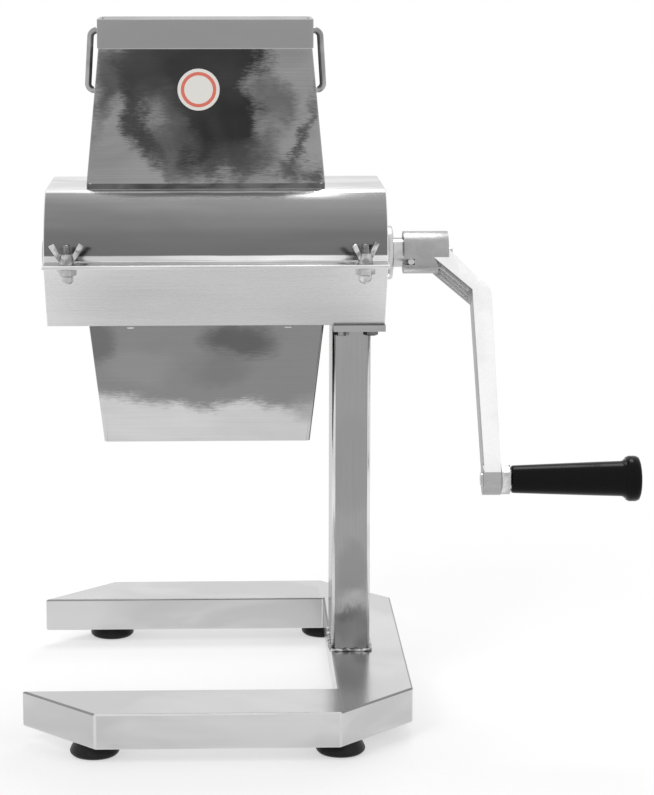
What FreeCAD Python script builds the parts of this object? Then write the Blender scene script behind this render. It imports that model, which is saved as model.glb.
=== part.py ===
"""Hand cranked meat tenderizer: stand, split housing, roller cassette, hopper, chute and crank.

Millimetres, +Z up, +X towards the crank, -Y towards the user. The origin lies on the surface that
the feet stand on, under the middle of the machine's whole width and depth.
"""
import FreeCAD, Part
import math
import os
import re
import Sketcher

SIZES = {
    # Place of the working parts' middle from the origin
    "working_x": -89.5,
    # Stand
    "foot_radius": 18.5,
    "foot_top_radius": 15.5,
    "foot_rim": 3.5,
    "foot_height": 12.5,
    "foot_recess_radius": 7.5,
    "foot_recess_depth": 6.0,
    "foot_spacing": 182.5,
    "foot_end_inset": 55.5,
    "foot_screw_radius": 3.0,
    "foot_screw_head": 3.5,
    "foot_screw_head_radius": 6.0,
    "thread_gap": 0.05,
    "base_length": 294.0,
    "base_depth": 365.0,
    "rail_width": 57.0,
    "rail_height": 27.0,
    "base_sheet": 1.5,
    "base_lip": 11.0,
    "bracket_length": 30.0,
    "bracket_thickness": 3.0,
    "bracket_corner": 23.0,
    "column_gap": 3.0,
    "column_thickness": 30.0,
    "column_depth": 60.0,
    "column_height": 259.5,
    "column_wall": 2.0,
    "column_corner": 2.5,
    "weld_size": 3.5,
    "plate_length": 40.0,
    "plate_depth": 100.0,
    "plate_thickness": 5.0,
    "stand_bolt_inset": 6.5,
    "stand_bolt_spacing": 22.5,
    "stand_bolt_width": 80.0,
    "bolt_radius": 3.0,
    "bolt_play": 0.3,
    "nut_across_flats": 10.0,
    "nut_height": 5.0,
    "bolt_head_height": 4.0,
    # Housing
    "left_end_room": 33.5,
    "right_end_room": 48.5,
    "housing_sheet": 1.5,
    "case_height": 52.5,
    "case_floor_depth": 96.0,
    "case_mouth_depth": 163.0,
    "cover_height": 52.8,
    "cover_radius": 58.0,
    "flange_depth": 203.0,
    # Feed hopper and outlet chute
    "hopper_foot_length": 181.5,
    "hopper_foot_depth": 100.0,
    "hopper_skirt_height": 4.5,
    "hopper_taper_height": 101.0,
    "hopper_collar_height": 22.2,
    "hopper_collar_inset": 0.8,
    "hopper_mouth_length": 165.0,
    "hopper_mouth_depth": 62.0,
    "hopper_sheet": 1.2,
    "hopper_corner": 5.0,
    "hopper_lip": 8.0,
    "throat_length": 165.0,
    "throat_depth": 84.0,
    "slip_gap": 0.5,
    "handle_radius": 2.6,
    "handle_reach": 6.2,
    "handle_bend": 5.0,
    "handle_top_drop": 9.5,
    "handle_span": 46.0,
    "chute_spread": 3.5,
    "chute_top_depth": 92.0,
    "chute_taper": 20.5,
    "chute_bottom_depth": 62.0,
    "chute_height": 94.0,
    "chute_sheet": 1.2,
    "chute_corner": 3.0,
    # Clamps
    "clamp_inset": 18.3,
    "clamp_depth": 190.0,
    "stud_radius": 3.0,
    "stud_play": 0.08,
    "stud_rise": 15.0,
    "lock_nut_across": 13.0,
    "lock_nut_height": 5.0,
    "cap_nut_radius": 5.0,
    "cap_nut_height": 7.0,
    "wing_nut_hub_radius": 6.0,
    "wing_nut_neck_radius": 4.8,
    "wing_nut_hub_height": 8.0,
    "wing_nut_span": 26.4,
    "wing_nut_height": 16.0,
    "wing_thickness": 2.6,
    "wing_width": 8.5,
    # Roller cassette
    "roller_spacing": 40.0,
    "end_plate_thickness": 6.0,
    "working_length": 177.0,
    "end_plate_floor_depth": 84.0,
    "end_plate_depth": 136.0,
    "end_plate_top_depth": 88.0,
    "end_plate_top_gap": 3.8,
    "end_plate_waist": 24.0,
    "journal_radius": 7.0,
    "running_gap": 0.06,
    "bush_wall": 3.0,
    "shaft_hex": 14.0,
    "hex_play": 0.1,
    "shoulder_gap": 0.5,
    "blade_radius": 22.0,
    "blade_root_radius": 18.0,
    "blade_thickness": 1.5,
    "blade_teeth": 12,
    "blade_row_margin": 9.75,
    "blade_count": 14,
    "spacer_radius": 12.0,
    "spacer_play": 0.1,
    "comb_gap": 0.8,
    "comb_reach": 27.0,
    "comb_half_angle": 55.0,
    "tine_thickness": 6.0,
    "comb_bar_height": 18.0,
    "comb_bar_depth": 8.0,
    "comb_blade_gap": 2.0,
    "comb_screw_radius": 2.5,
    "comb_screw_depth": 12.0,
    "comb_screw_head": 3.0,
    "comb_screw_head_radius": 4.5,
    "gear_teeth": 16,
    "flank_steps": 3,
    "gear_addendum": 2.25,
    "gear_dedendum": 3.1,
    "gear_width": 12.0,
    "gear_gap": 4.5,
    "gear_backlash": 0.5,
    "pressure_angle": 20.0,
    "seat_hex": 12.0,
    "shaft_tail": 3.0,
    # Bearings in the housing's ends
    "sleeve_radius": 11.5,
    "outer_bush_radius": 15.0,
    "outer_bush_flange_radius": 21.0,
    "outer_bush_flange": 7.0,
    "outer_bush_inside": 8.0,
    "left_bush_radius": 10.5,
    "left_bush_proud": 4.5,
    "left_bush_inside": 9.0,
    "left_bush_cap": 2.0,
    "left_bush_shoulder": 3.0,
    "bush_seat_gap": 0.2,
    # Crank
    "crank_angle": 40.0,
    "hub_gap": 8.5,
    "hub_length": 34.5,
    "hub_radius": 16.5,
    "hub_bore_depth": 18.0,
    "hub_end_wall": 4.0,
    "end_screw_radius": 2.0,
    "end_screw_length": 16.0,
    "shaft_end_gap": 1.0,
    "end_screw_head_radius": 4.0,
    "end_screw_head": 4.0,
    "drive_pin_radius": 2.5,
    "drive_pin_edge": 3.0,
    "drive_pin_tilt": 20.0,
    "arm_length": 198.0,
    "arm_width": 23.0,
    "arm_thickness": 14.5,
    "arm_offset": 15.5,
    "arm_inset": 0.8,
    "arm_root": 19.0,
    "arm_root_drop": 8.0,
    "arm_bend_inner": 41.0,
    "arm_bend_outer": 36.0,
    "arm_bend_radius": 22.0,
    "arm_bend_length": 9.0,
    "arm_groove_width": 4.4,
    "arm_rib_width": 1.6,
    "arm_recess_depth": 5.0,
    "groove_start_share": 0.25,
    "groove_end_share": 0.9,
    "groove_mouth_share": 0.95,
    "eye_radius": 11.5,
    "eye_thickness": 13.0,
    "spindle_radius": 5.0,
    "spindle_tail": 1.5,
    "lock_nut_thickness": 7.5,
    "grip_nut_across": 19.0,
    "grip_play": 0.5,
    "grip_length": 95.0,
    "grip_inner_radius": 10.2,
    "grip_outer_radius": 13.2,
    "knob_radius": 16.8,
    "knob_thickness": 11.0,
    "grip_edge": 3.0,
    "grip_recess_radius": 7.5,
    "grip_recess_depth": 6.0,
    "spindle_head_radius": 6.5,
    "spindle_head": 4.0,
}

# Sizes and places that follow from the driving sizes
PLACES = {
    "column_left": "working_right + end_plate_thickness + column_gap",
    "base_right": "column_left + rail_width",
    "base_left": "base_right - base_length",
    "base_half": "base_depth / 2",
    "leg_inner": "base_half - rail_width",
    "base_top": "foot_height + rail_height",
    "column_top": "base_top + column_height",
    "case_bottom": "column_top + plate_thickness",
    "split": "case_bottom + case_height",
    "cover_top": "split + cover_height",
    "rail_middle": "base_half - rail_width / 2",
    "foot_left_x": "base_left + foot_end_inset",
    "housing_left": "working_left - left_end_room",
    "housing_right": "working_right + right_end_room",
    "housing_length": "left_end_room + working_length + right_end_room",
    "chute_top_length": "working_length + chute_spread",
    "chute_bottom_length": "chute_top_length - chute_taper",
    "case_floor_half": "case_floor_depth / 2",
    "case_mouth_half": "case_mouth_depth / 2",
    "flange_half": "flange_depth / 2",
    "case_wall_run": "case_mouth_half - case_floor_half",
    "case_wall_rise": "case_height - housing_sheet",
    "case_wall_shift": "housing_sheet * sqrt(1 + (case_wall_run / case_wall_rise)^2)",
    "cover_arc_middle": "case_mouth_half - cover_radius",
    "cover_rise": "cover_height - housing_sheet",
    "cover_inner_radius": "cover_radius - housing_sheet",
    "cover_inner_rise": "cover_rise - housing_sheet",
    "cover_top_half": "cover_arc_middle + sqrt(cover_radius^2 - cover_rise^2)",
    "cover_ceiling_half": "cover_arc_middle + sqrt(cover_inner_radius^2 - cover_inner_rise^2)",
    "front_axis_y": "-roller_spacing / 2",
    "rear_axis_y": "roller_spacing / 2",
    "working_left": "working_x - working_length / 2",
    "working_right": "working_x + working_length / 2",
    "blade_pitch": "(working_length - 2 * blade_row_margin - blade_thickness) / (blade_count - 1)",
    "stud_hole_radius": "stud_radius + bolt_play",
    "comb_screw_y": "roller_spacing / 2 + comb_reach + comb_bar_depth / 2",
    "gear_left": "working_right + end_plate_thickness + gear_gap",
    "hub_left": "housing_right + outer_bush_flange + hub_gap",
    "shaft_end": "hub_left + hub_length - hub_end_wall - shaft_end_gap",
    "end_screw_depth": "end_screw_length - hub_end_wall - shaft_end_gap",
    "drive_pin_x": "hub_left + drive_pin_edge + drive_pin_radius",
    "eye_left": "hub_length + arm_offset",
    "arm_inner": "eye_left + arm_inset",
    "eye_x": "hub_left + eye_left",
    "eye_y": "front_axis_y - arm_length * sin(crank_angle * 1 deg)",
    "eye_z": "split - arm_length * cos(crank_angle * 1 deg)",
}


def formula(text):
    """The formula with each size read from the sheet and each place spelled out."""
    def spell(word):
        name = word.group()
        if name in SIZES:
            return "Sizes." + name
        if name in PLACES:
            return "(" + formula(PLACES[name]) + ")"
        return name
    return re.sub(r"[a-z]\w*", spell, text)


def value(text):
    """The number that a formula gives with the sheet's present sizes."""
    return float(sheet.evalExpression(formula(text)))


def bind(thing, property_name, text):
    """Ties a property of an object to a formula in the sheet's sizes."""
    thing.setExpression(property_name, formula(text))


def new_body(label, x="0", y="0", z="0"):
    """An empty body for one sub-part, with its own origin at the given place."""
    body = document.addObject("PartDesign::Body", label)
    body.Label = label
    for direction, place in zip("xyz", (x, y, z)):
        bind(body, "Placement.Base." + direction, place)
    subparts.append(body)
    return body


def own_datum(body, role):
    """One of the body's own origin planes or axes."""
    return [item for item in body.Origin.OriginFeatures if item.Role == role][0]


def new_sketch(body, plane, offset="0"):
    """An empty sketch on one of the body's own planes, moved along that plane's normal."""
    sketch = body.newObject("Sketcher::SketchObject", body.Name + "_sketch")
    sketch.AttachmentSupport = (own_datum(body, plane), "")
    sketch.MapMode = "FlatFace"
    bind(sketch, "AttachmentOffset.Base.z", offset)
    return sketch


def fix_point(sketch, edge, end, across, up):
    """Holds one end or centre of a sketch edge at two formulas from the sketch's origin."""
    for kind, text in (("DistanceX", across), ("DistanceY", up)):
        index = sketch.addConstraint(Sketcher.Constraint(kind, -1, 1, edge, end, value(text)))
        bind(sketch, "Constraints[%d]" % index, text)


def arc_between(start, finish, radius):
    """The short arc from start to finish, bulging to the right of the way for a positive radius."""
    chord = finish - start
    side = FreeCAD.Vector(-chord.y, chord.x, 0).normalize()
    rise = math.sqrt(max(radius ** 2 - (chord.Length / 2) ** 2, 0))
    centre = (start + finish) / 2 + side * math.copysign(rise, radius)
    first, last = (start, finish) if radius > 0 else (finish, start)
    angles = [math.atan2(point.y - centre.y, point.x - centre.x) for point in (first, last)]
    if angles[1] < angles[0]:
        angles[1] += 2 * math.pi
    circle = Part.Circle(centre, FreeCAD.Vector(0, 0, 1), abs(radius))
    return Part.ArcOfCircle(circle, angles[0], angles[1])


def draw_outline(sketch, corners, closed=True):
    """Joins corners, each (across, up) or (across, up, radius of the arc that leaves it)."""
    points = [FreeCAD.Vector(value(corner[0]), value(corner[1]), 0) for corner in corners]
    edges = []
    for index, corner in enumerate(corners):
        if not closed and index == len(corners) - 1:
            break
        start = points[index]
        finish = points[(index + 1) % len(points)]
        if len(corner) == 3:
            radius = value(corner[2])
            edge = sketch.addGeometry(arc_between(start, finish, radius), False)
            size = sketch.addConstraint(Sketcher.Constraint("Radius", edge, abs(radius)))
            bind(sketch, "Constraints[%d]" % size, "abs(" + corner[2] + ")")
            edges.append((edge, 1, 2) if radius > 0 else (edge, 2, 1))
        else:
            edge = sketch.addGeometry(Part.LineSegment(start, finish), False)
            edges.append((edge, 1, 2))
    for (edge, first, last), corner in zip(edges, corners):
        fix_point(sketch, edge, first, corner[0], corner[1])
    for (before, _, last), (after, first, _) in zip(edges, edges[1:] + edges[:1] * closed):
        sketch.addConstraint(Sketcher.Constraint("Coincident", before, last, after, first))
    if not closed:
        fix_point(sketch, edges[-1][0], edges[-1][2], corners[-1][0], corners[-1][1])


def draw_rectangle(sketch, left, right, bottom, top):
    """A rectangle between four formulas."""
    draw_outline(sketch, [(left, bottom), (right, bottom), (right, top), (left, top)])


def draw_rounded(sketch, length, depth, corner):
    """A rectangle about the sketch's origin with four round corners."""
    long = "(%s) / 2" % length
    deep = "(%s) / 2" % depth
    turn = "(%s)" % corner
    draw_outline(sketch, [
        (f"-{long} + {turn}", f"-{deep}"), (f"{long} - {turn}", f"-{deep}", turn),
        (long, f"-{deep} + {turn}"), (long, f"{deep} - {turn}", turn),
        (f"{long} - {turn}", deep), (f"-{long} + {turn}", deep, turn),
        (f"-{long}", f"{deep} - {turn}"), (f"-{long}", f"-{deep} + {turn}", turn)])


def draw_circle(sketch, across, up, radius):
    """A circle about a point given by two formulas."""
    centre = FreeCAD.Vector(value(across), value(up), 0)
    circle = Part.Circle(centre, FreeCAD.Vector(0, 0, 1), value(radius))
    edge = sketch.addGeometry(circle, False)
    size = sketch.addConstraint(Sketcher.Constraint("Radius", edge, value(radius)))
    bind(sketch, "Constraints[%d]" % size, radius)
    fix_point(sketch, edge, 3, across, up)


def draw_hexagon(sketch, across, up, flats):
    """A hexagon about a point, with two of its flats square to the sketch's up direction."""
    reach = "(%s) / (2 * cos(30 deg))" % flats
    draw_outline(sketch, [
        (f"({across}) + {reach} * cos({turn} deg)", f"({up}) + {reach} * sin({turn} deg)")
        for turn in range(0, 360, 60)])


def pad(body, sketch, length):
    """Adds the sketch's area, drawn out along the sketch's normal."""
    feature = body.newObject("PartDesign::Pad", body.Name + "_pad")
    feature.Profile = sketch
    bind(feature, "Length", length)
    return feature


def cut(body, sketch, length):
    """Takes the sketch's area away along the sketch's normal."""
    feature = body.newObject("PartDesign::Pocket", body.Name + "_cut")
    feature.Profile = sketch
    feature.Reversed = True
    bind(feature, "Length", length)
    return feature


def cut_across(body, draw, tilt, length):
    """Cuts right through the body's X axis, along a line tilted below the user's side."""
    sketch = new_sketch(body, "XZ_Plane")
    sketch.AttachmentOffset = FreeCAD.Placement(
        FreeCAD.Vector(), FreeCAD.Rotation(FreeCAD.Vector(1, 0, 0), value(tilt)))
    bind(sketch, "AttachmentOffset.Rotation.Angle", tilt)
    draw(sketch)
    feature = cut(body, sketch, length)
    feature.Midplane = True


def turn_round(body, sketch, axis, kind="PartDesign::Revolution"):
    """Turns the sketch's area all the way round one of the body's own axes."""
    feature = body.newObject(kind, body.Name + "_turned")
    feature.Profile = sketch
    feature.ReferenceAxis = (own_datum(body, axis), [""])
    feature.Angle = 360
    return feature


def repeat(body, feature, axis, count, pitch):
    """Repeats a feature along one of the body's own axes."""
    pattern = body.newObject("PartDesign::LinearPattern", body.Name + "_row")
    pattern.Originals = [feature]
    pattern.Direction = (own_datum(body, axis), [""])
    bind(pattern, "Length", "(%s - 1) * (%s)" % (count, pitch))
    bind(pattern, "Occurrences", count)
    body.Tip = pattern
    return pattern


def blend(body, first, last, kind="PartDesign::AdditiveLoft"):
    """Joins two sketches with straight sides, as added or as removed material."""
    feature = body.newObject(kind, body.Name + "_loft")
    feature.Profile = first
    feature.Sections = [last]
    feature.Ruled = True
    return feature


document = FreeCAD.newDocument("MeatTenderizer")
sheet = document.addObject("Spreadsheet::Sheet", "Sizes")
for row, (size_name, size) in enumerate(SIZES.items(), start=1):
    sheet.set("A%d" % row, size_name)
    sheet.set("B%d" % row, str(size))
    sheet.setAlias("B%d" % row, size_name)
document.recompute()
subparts = []


# Stand

def base_outline(inset):
    """The C-shaped base seen from above, with every side moved in by the same amount."""
    step = f"({inset}) * (sqrt(2) - 1)"
    tip = f"({inset}) * (sqrt(2) + 1)"
    front = [
        (f"base_left + {tip}", f"-leg_inner - ({inset})"),
        (f"base_left + rail_width + {step}", f"-base_half + ({inset})"),
        (f"base_right - rail_width - {step}", f"-base_half + ({inset})"),
        (f"base_right - ({inset})", f"-base_half + rail_width + {step}")]
    inner = (f"column_left + ({inset})", f"-leg_inner - ({inset})")
    rear = [(across, f"-({up})") for across, up in reversed(front)]
    return front + rear + [(inner[0], f"-({inner[1]})"), inner]


def make_base_frame():
    """Folded sheet channel: a top, outer and inner walls, and lips turned in under it."""
    body = new_body("base_frame", z="foot_height")
    outside = new_sketch(body, "XY_Plane")
    draw_outline(outside, base_outline("0"))
    pad(body, outside, "rail_height")
    inside = new_sketch(body, "XY_Plane", "base_sheet")
    draw_outline(inside, base_outline("base_sheet"))
    cut(body, inside, "rail_height - 2 * base_sheet")
    slot = new_sketch(body, "XY_Plane", "-base_sheet")
    draw_outline(slot, base_outline("base_lip"))
    cut(body, slot, "3 * base_sheet")


def foot_places():
    """The feet's places: each row has a name, X and Y."""
    for side, x in (("left", "foot_left_x"), ("right", "foot_left_x + foot_spacing")):
        for end, y in (("front", "-rail_middle"), ("rear", "rail_middle")):
            yield end + "_" + side, f"({x})", f"({y})"


def make_foot(name, x, y):
    """Moulded rubber foot, widest just above the floor, hollowed below for its screw."""
    body = new_body("foot_" + name, x, y)
    profile = new_sketch(body, "XZ_Plane")
    draw_outline(profile, [
        ("foot_screw_radius + bolt_play", "foot_recess_depth"),
        ("foot_recess_radius", "foot_recess_depth"),
        ("foot_recess_radius", "0"),
        ("foot_radius - foot_rim", "0", "foot_rim"),
        ("foot_radius", "foot_rim"),
        ("foot_top_radius", "foot_height"),
        ("foot_screw_radius + bolt_play", "foot_height")])
    turn_round(body, profile, "Z_Axis")


def make_foot_brackets():
    """Plates that lie on the lips inside the rails, each tapped for a foot's screw."""
    body = new_body("foot_brackets", z="foot_height + base_sheet")
    reach = "bracket_length / 2"
    width = "(rail_width / 2 - base_sheet - 2 * slip_gap)"
    for name, x, y in foot_places():
        out = "-1" if name.endswith("left") else "1"
        front = "-1" if name.startswith("front") else "1"
        plate = new_sketch(body, "XY_Plane")
        draw_outline(plate, [
            (f"{x} + {out} * {reach}", f"{y} + {front} * (bracket_corner - {reach})"),
            (f"{x} + {out} * (bracket_corner - {width})", f"{y} + {front} * {width}"),
            (f"{x} - {out} * {reach}", f"{y} + {front} * {width}"),
            (f"{x} - {out} * {reach}", f"{y} - {front} * {width}"),
            (f"{x} + {out} * {reach}", f"{y} - {front} * {width}")])
        draw_circle(plate, x, y, "foot_screw_radius + thread_gap")
        pad(body, plate, "bracket_thickness")


def make_foot_screws():
    """Pan head screws that hold the feet, up through each foot into its bracket."""
    body = new_body("foot_screws", z="foot_recess_depth")
    for _, x, y in foot_places():
        head = new_sketch(body, "XY_Plane", "-foot_screw_head")
        draw_circle(head, x, y, "foot_screw_head_radius")
        pad(body, head, "foot_screw_head")
        shank = new_sketch(body, "XY_Plane")
        draw_circle(shank, x, y, "foot_screw_radius")
        pad(body, shank, "foot_height - foot_recess_depth + base_sheet + bracket_thickness + slip_gap")


def make_column():
    """Rectangular tube that carries the housing, with rounded outer corners."""
    body = new_body("column", "column_left + column_thickness / 2", "0", "base_top")
    section = new_sketch(body, "XY_Plane")
    draw_rounded(section, "column_thickness", "column_depth", "column_corner")
    draw_rounded(
        section, "column_thickness - 2 * column_wall", "column_depth - 2 * column_wall",
        "column_corner - column_wall")
    pad(body, section, "column_height")


def make_column_weld():
    """Weld bead round the column's foot, as a sloped collar on the base."""
    body = new_body("column_weld", "column_left + column_thickness / 2", "0", "base_top")
    wide = new_sketch(body, "XY_Plane")
    draw_rounded(
        wide, "column_thickness + 2 * weld_size", "column_depth + 2 * weld_size",
        "column_corner + weld_size")
    narrow = new_sketch(body, "XY_Plane", "weld_size")
    draw_rounded(
        narrow, "column_thickness + weld_size / 2", "column_depth + weld_size / 2",
        "column_corner + weld_size / 4")
    blend(body, wide, narrow)
    hole = new_sketch(body, "XY_Plane")
    draw_rounded(hole, "column_thickness", "column_depth", "column_corner")
    cut(body, hole, "2 * weld_size")


def stand_bolt_places():
    """The places of the four bolts that hold the housing on the column's plate."""
    for x in ("column_left + stand_bolt_inset", "column_left + stand_bolt_inset + stand_bolt_spacing"):
        for y in ("-stand_bolt_width / 2", "stand_bolt_width / 2"):
            yield x, y


def make_column_plate():
    """Plate welded on top of the column, drilled for the four bolts."""
    body = new_body("column_top_plate", z="column_top")
    plate = new_sketch(body, "XY_Plane")
    draw_rectangle(
        plate, "column_left", "column_left + plate_length", "-plate_depth / 2", "plate_depth / 2")
    for x, y in stand_bolt_places():
        draw_circle(plate, x, y, "bolt_radius + bolt_play")
    pad(body, plate, "plate_thickness")


def make_stand_bolts():
    """Hexagon head bolts, up through the plate and the housing's floor."""
    body = new_body("stand_bolts", z="column_top")
    for x, y in stand_bolt_places():
        head = new_sketch(body, "XY_Plane", "-bolt_head_height")
        draw_hexagon(head, x, y, "nut_across_flats")
        pad(body, head, "bolt_head_height")
        shank = new_sketch(body, "XY_Plane")
        draw_circle(shank, x, y, "bolt_radius")
        pad(body, shank, "plate_thickness + housing_sheet + nut_height + 2 * slip_gap")


def make_stand_nuts():
    """Nuts on the housing's floor, one on each of those bolts."""
    body = new_body("stand_nuts", z="case_bottom + housing_sheet")
    for x, y in stand_bolt_places():
        nut = new_sketch(body, "XY_Plane")
        draw_hexagon(nut, x, y, "nut_across_flats")
        draw_circle(nut, x, y, "bolt_radius + thread_gap")
        pad(body, nut, "nut_height")


make_base_frame()
for foot in foot_places():
    make_foot(*foot)
make_foot_brackets()
make_foot_screws()
make_column()
make_column_weld()
make_column_plate()
make_stand_bolts()
make_stand_nuts()


# Housing

def clamp_places():
    """The places of the four clamps on the housing's flanges."""
    for side, x in (("left", "housing_left + clamp_inset"), ("right", "housing_right - clamp_inset")):
        for end, y in (("front", "-clamp_depth / 2"), ("rear", "clamp_depth / 2")):
            yield end + "_" + side, x, y


def cut_bush_seats(body):
    """Cuts the seats of the two bushes that hold the driven shaft in the housing's ends."""
    for wall, radius in (("housing_right - 2 * housing_sheet", "outer_bush_radius"),
                         ("housing_left - housing_sheet", "left_bush_radius")):
        seat = new_sketch(body, "YZ_Plane", wall)
        draw_circle(seat, "front_axis_y", "split", radius + " + bush_seat_gap")
        cut(body, seat, "3 * housing_sheet")


def cut_clamp_holes(body):
    """Drills both flanges for the clamp studs."""
    holes = new_sketch(body, "XY_Plane", "split - 2 * housing_sheet")
    for _, x, y in clamp_places():
        draw_circle(holes, x, y, "stud_hole_radius")
    cut(body, holes, "4 * housing_sheet")


def make_lower_case():
    """Folded trough with end walls and two flanges, open to the chute in its floor."""
    body = new_body("lower_case")
    section = new_sketch(body, "YZ_Plane", "housing_left")
    half = [("case_floor_half", "case_bottom"), ("case_mouth_half", "split - housing_sheet"),
            ("flange_half", "split - housing_sheet"), ("flange_half", "split")]
    draw_outline(section, half + [("-" + across, up) for across, up in reversed(half)])
    pad(body, section, "housing_length")
    hollow = new_sketch(body, "YZ_Plane", "housing_left + housing_sheet")
    slope = "case_wall_run / case_wall_rise * housing_sheet"
    floor = f"(case_floor_half + {slope} - case_wall_shift)"
    mouth = f"(case_mouth_half + {slope} - case_wall_shift)"
    draw_outline(hollow, [
        ("-" + floor, "case_bottom + housing_sheet"), (floor, "case_bottom + housing_sheet"),
        (mouth, "split"), (mouth, "split + housing_sheet"),
        ("-" + mouth, "split + housing_sheet"), ("-" + mouth, "split")])
    cut(body, hollow, "housing_length - 2 * housing_sheet")
    outlet = new_sketch(body, "XY_Plane", "case_bottom - housing_sheet")
    draw_rectangle(
        outlet, "working_x - chute_top_length / 2 + chute_sheet",
        "working_x + chute_top_length / 2 - chute_sheet",
        "-chute_top_depth / 2 + chute_sheet", "chute_top_depth / 2 - chute_sheet")
    cut(body, outlet, "3 * housing_sheet")
    bolts = new_sketch(body, "XY_Plane", "case_bottom - housing_sheet")
    for x, y in stand_bolt_places():
        draw_circle(bolts, x, y, "bolt_radius + bolt_play")
    cut(body, bolts, "3 * housing_sheet")
    cut_clamp_holes(body)
    cut_bush_seats(body)


def make_upper_cover():
    """Bowed cover with end walls and two flanges, open to the hopper in its flat top."""
    body = new_body("upper_cover")
    section = new_sketch(body, "YZ_Plane", "housing_left")
    draw_outline(section, [
        ("-flange_half", "split"), ("flange_half", "split"),
        ("flange_half", "split + housing_sheet"),
        ("case_mouth_half", "split + housing_sheet", "cover_radius"),
        ("cover_top_half", "cover_top"),
        ("-cover_top_half", "cover_top", "cover_radius"),
        ("-case_mouth_half", "split + housing_sheet"),
        ("-flange_half", "split + housing_sheet")])
    pad(body, section, "housing_length")
    hollow = new_sketch(body, "YZ_Plane", "housing_left + housing_sheet")
    wall = "case_mouth_half - housing_sheet"
    draw_outline(hollow, [
        (f"-({wall})", "split - housing_sheet"), (wall, "split - housing_sheet"),
        (wall, "split + housing_sheet", "cover_inner_radius"),
        ("cover_ceiling_half", "cover_top - housing_sheet"),
        ("-cover_ceiling_half", "cover_top - housing_sheet", "cover_inner_radius"),
        (f"-({wall})", "split + housing_sheet")])
    cut(body, hollow, "housing_length - 2 * housing_sheet")
    throat = new_sketch(body, "XY_Plane", "cover_top - 2 * housing_sheet")
    draw_rectangle(
        throat, "working_x - throat_length / 2", "working_x + throat_length / 2",
        "-throat_depth / 2", "throat_depth / 2")
    cut(body, throat, "3 * housing_sheet")
    cut_clamp_holes(body)
    cut_bush_seats(body)


def make_outlet_chute():
    """Tapered sheet chute welded under the housing's floor, open at both ends."""
    body = new_body("outlet_chute", "working_x", "0", "case_bottom - chute_height")
    for wall, kind in (("0", "PartDesign::AdditiveLoft"), ("chute_sheet", "PartDesign::SubtractiveLoft")):
        low = new_sketch(body, "XY_Plane")
        draw_rounded(
            low, f"chute_bottom_length - 2 * {wall}", f"chute_bottom_depth - 2 * {wall}",
            f"chute_corner - {wall}")
        high = new_sketch(body, "XY_Plane", "chute_height")
        draw_rounded(
            high, f"chute_top_length - 2 * {wall}", f"chute_top_depth - 2 * {wall}",
            f"chute_corner - {wall}")
        blend(body, low, high, kind)


def make_feed_hopper():
    """Sheet hopper with a skirt, tapered walls, an upright collar and a lip into the throat."""
    body = new_body("feed_hopper", "working_x", "0", "cover_top")
    taper_top = "hopper_skirt_height + hopper_taper_height"
    neck_length = "hopper_mouth_length - 2 * hopper_collar_inset"
    neck_depth = "hopper_mouth_depth - 2 * hopper_collar_inset"
    corner = "hopper_corner"
    skirt = new_sketch(body, "XY_Plane")
    draw_rounded(skirt, "hopper_foot_length", "hopper_foot_depth", corner)
    pad(body, skirt, "hopper_skirt_height")
    wide = new_sketch(body, "XY_Plane", "hopper_skirt_height")
    draw_rounded(wide, "hopper_foot_length", "hopper_foot_depth", corner)
    narrow = new_sketch(body, "XY_Plane", taper_top)
    draw_rounded(narrow, neck_length, neck_depth, corner)
    blend(body, wide, narrow)
    collar = new_sketch(body, "XY_Plane", taper_top)
    draw_rounded(collar, "hopper_mouth_length", "hopper_mouth_depth", corner)
    pad(body, collar, "hopper_collar_height")
    lip = new_sketch(body, "XY_Plane", "-hopper_lip")
    draw_rectangle(
        lip, "-throat_length / 2 + slip_gap", "throat_length / 2 - slip_gap",
        "-throat_depth / 2 + slip_gap", "throat_depth / 2 - slip_gap")
    pad(body, lip, "hopper_lip")
    wall = "2 * hopper_sheet"
    inner_corner = "hopper_corner - hopper_sheet"
    skirt_hollow = new_sketch(body, "XY_Plane", "hopper_sheet")
    draw_rounded(
        skirt_hollow, f"hopper_foot_length - {wall}", f"hopper_foot_depth - {wall}", inner_corner)
    cut(body, skirt_hollow, "hopper_skirt_height - hopper_sheet")
    wide_hollow = new_sketch(body, "XY_Plane", "hopper_skirt_height")
    draw_rounded(
        wide_hollow, f"hopper_foot_length - {wall}", f"hopper_foot_depth - {wall}", inner_corner)
    narrow_hollow = new_sketch(body, "XY_Plane", taper_top)
    draw_rounded(narrow_hollow, f"{neck_length} - {wall}", f"{neck_depth} - {wall}", inner_corner)
    blend(body, wide_hollow, narrow_hollow, "PartDesign::SubtractiveLoft")
    mouth = new_sketch(body, "XY_Plane", taper_top)
    draw_rounded(mouth, f"{neck_length} - {wall}", f"{neck_depth} - {wall}", inner_corner)
    cut(body, mouth, "hopper_collar_height * 2")
    throat = new_sketch(body, "XY_Plane", "-2 * hopper_lip")
    draw_rectangle(
        throat, "-throat_length / 2 + slip_gap + hopper_sheet",
        "throat_length / 2 - slip_gap - hopper_sheet",
        "-throat_depth / 2 + slip_gap + hopper_sheet",
        "throat_depth / 2 - slip_gap - hopper_sheet")
    cut(body, throat, "2 * hopper_lip + hopper_sheet")


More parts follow.
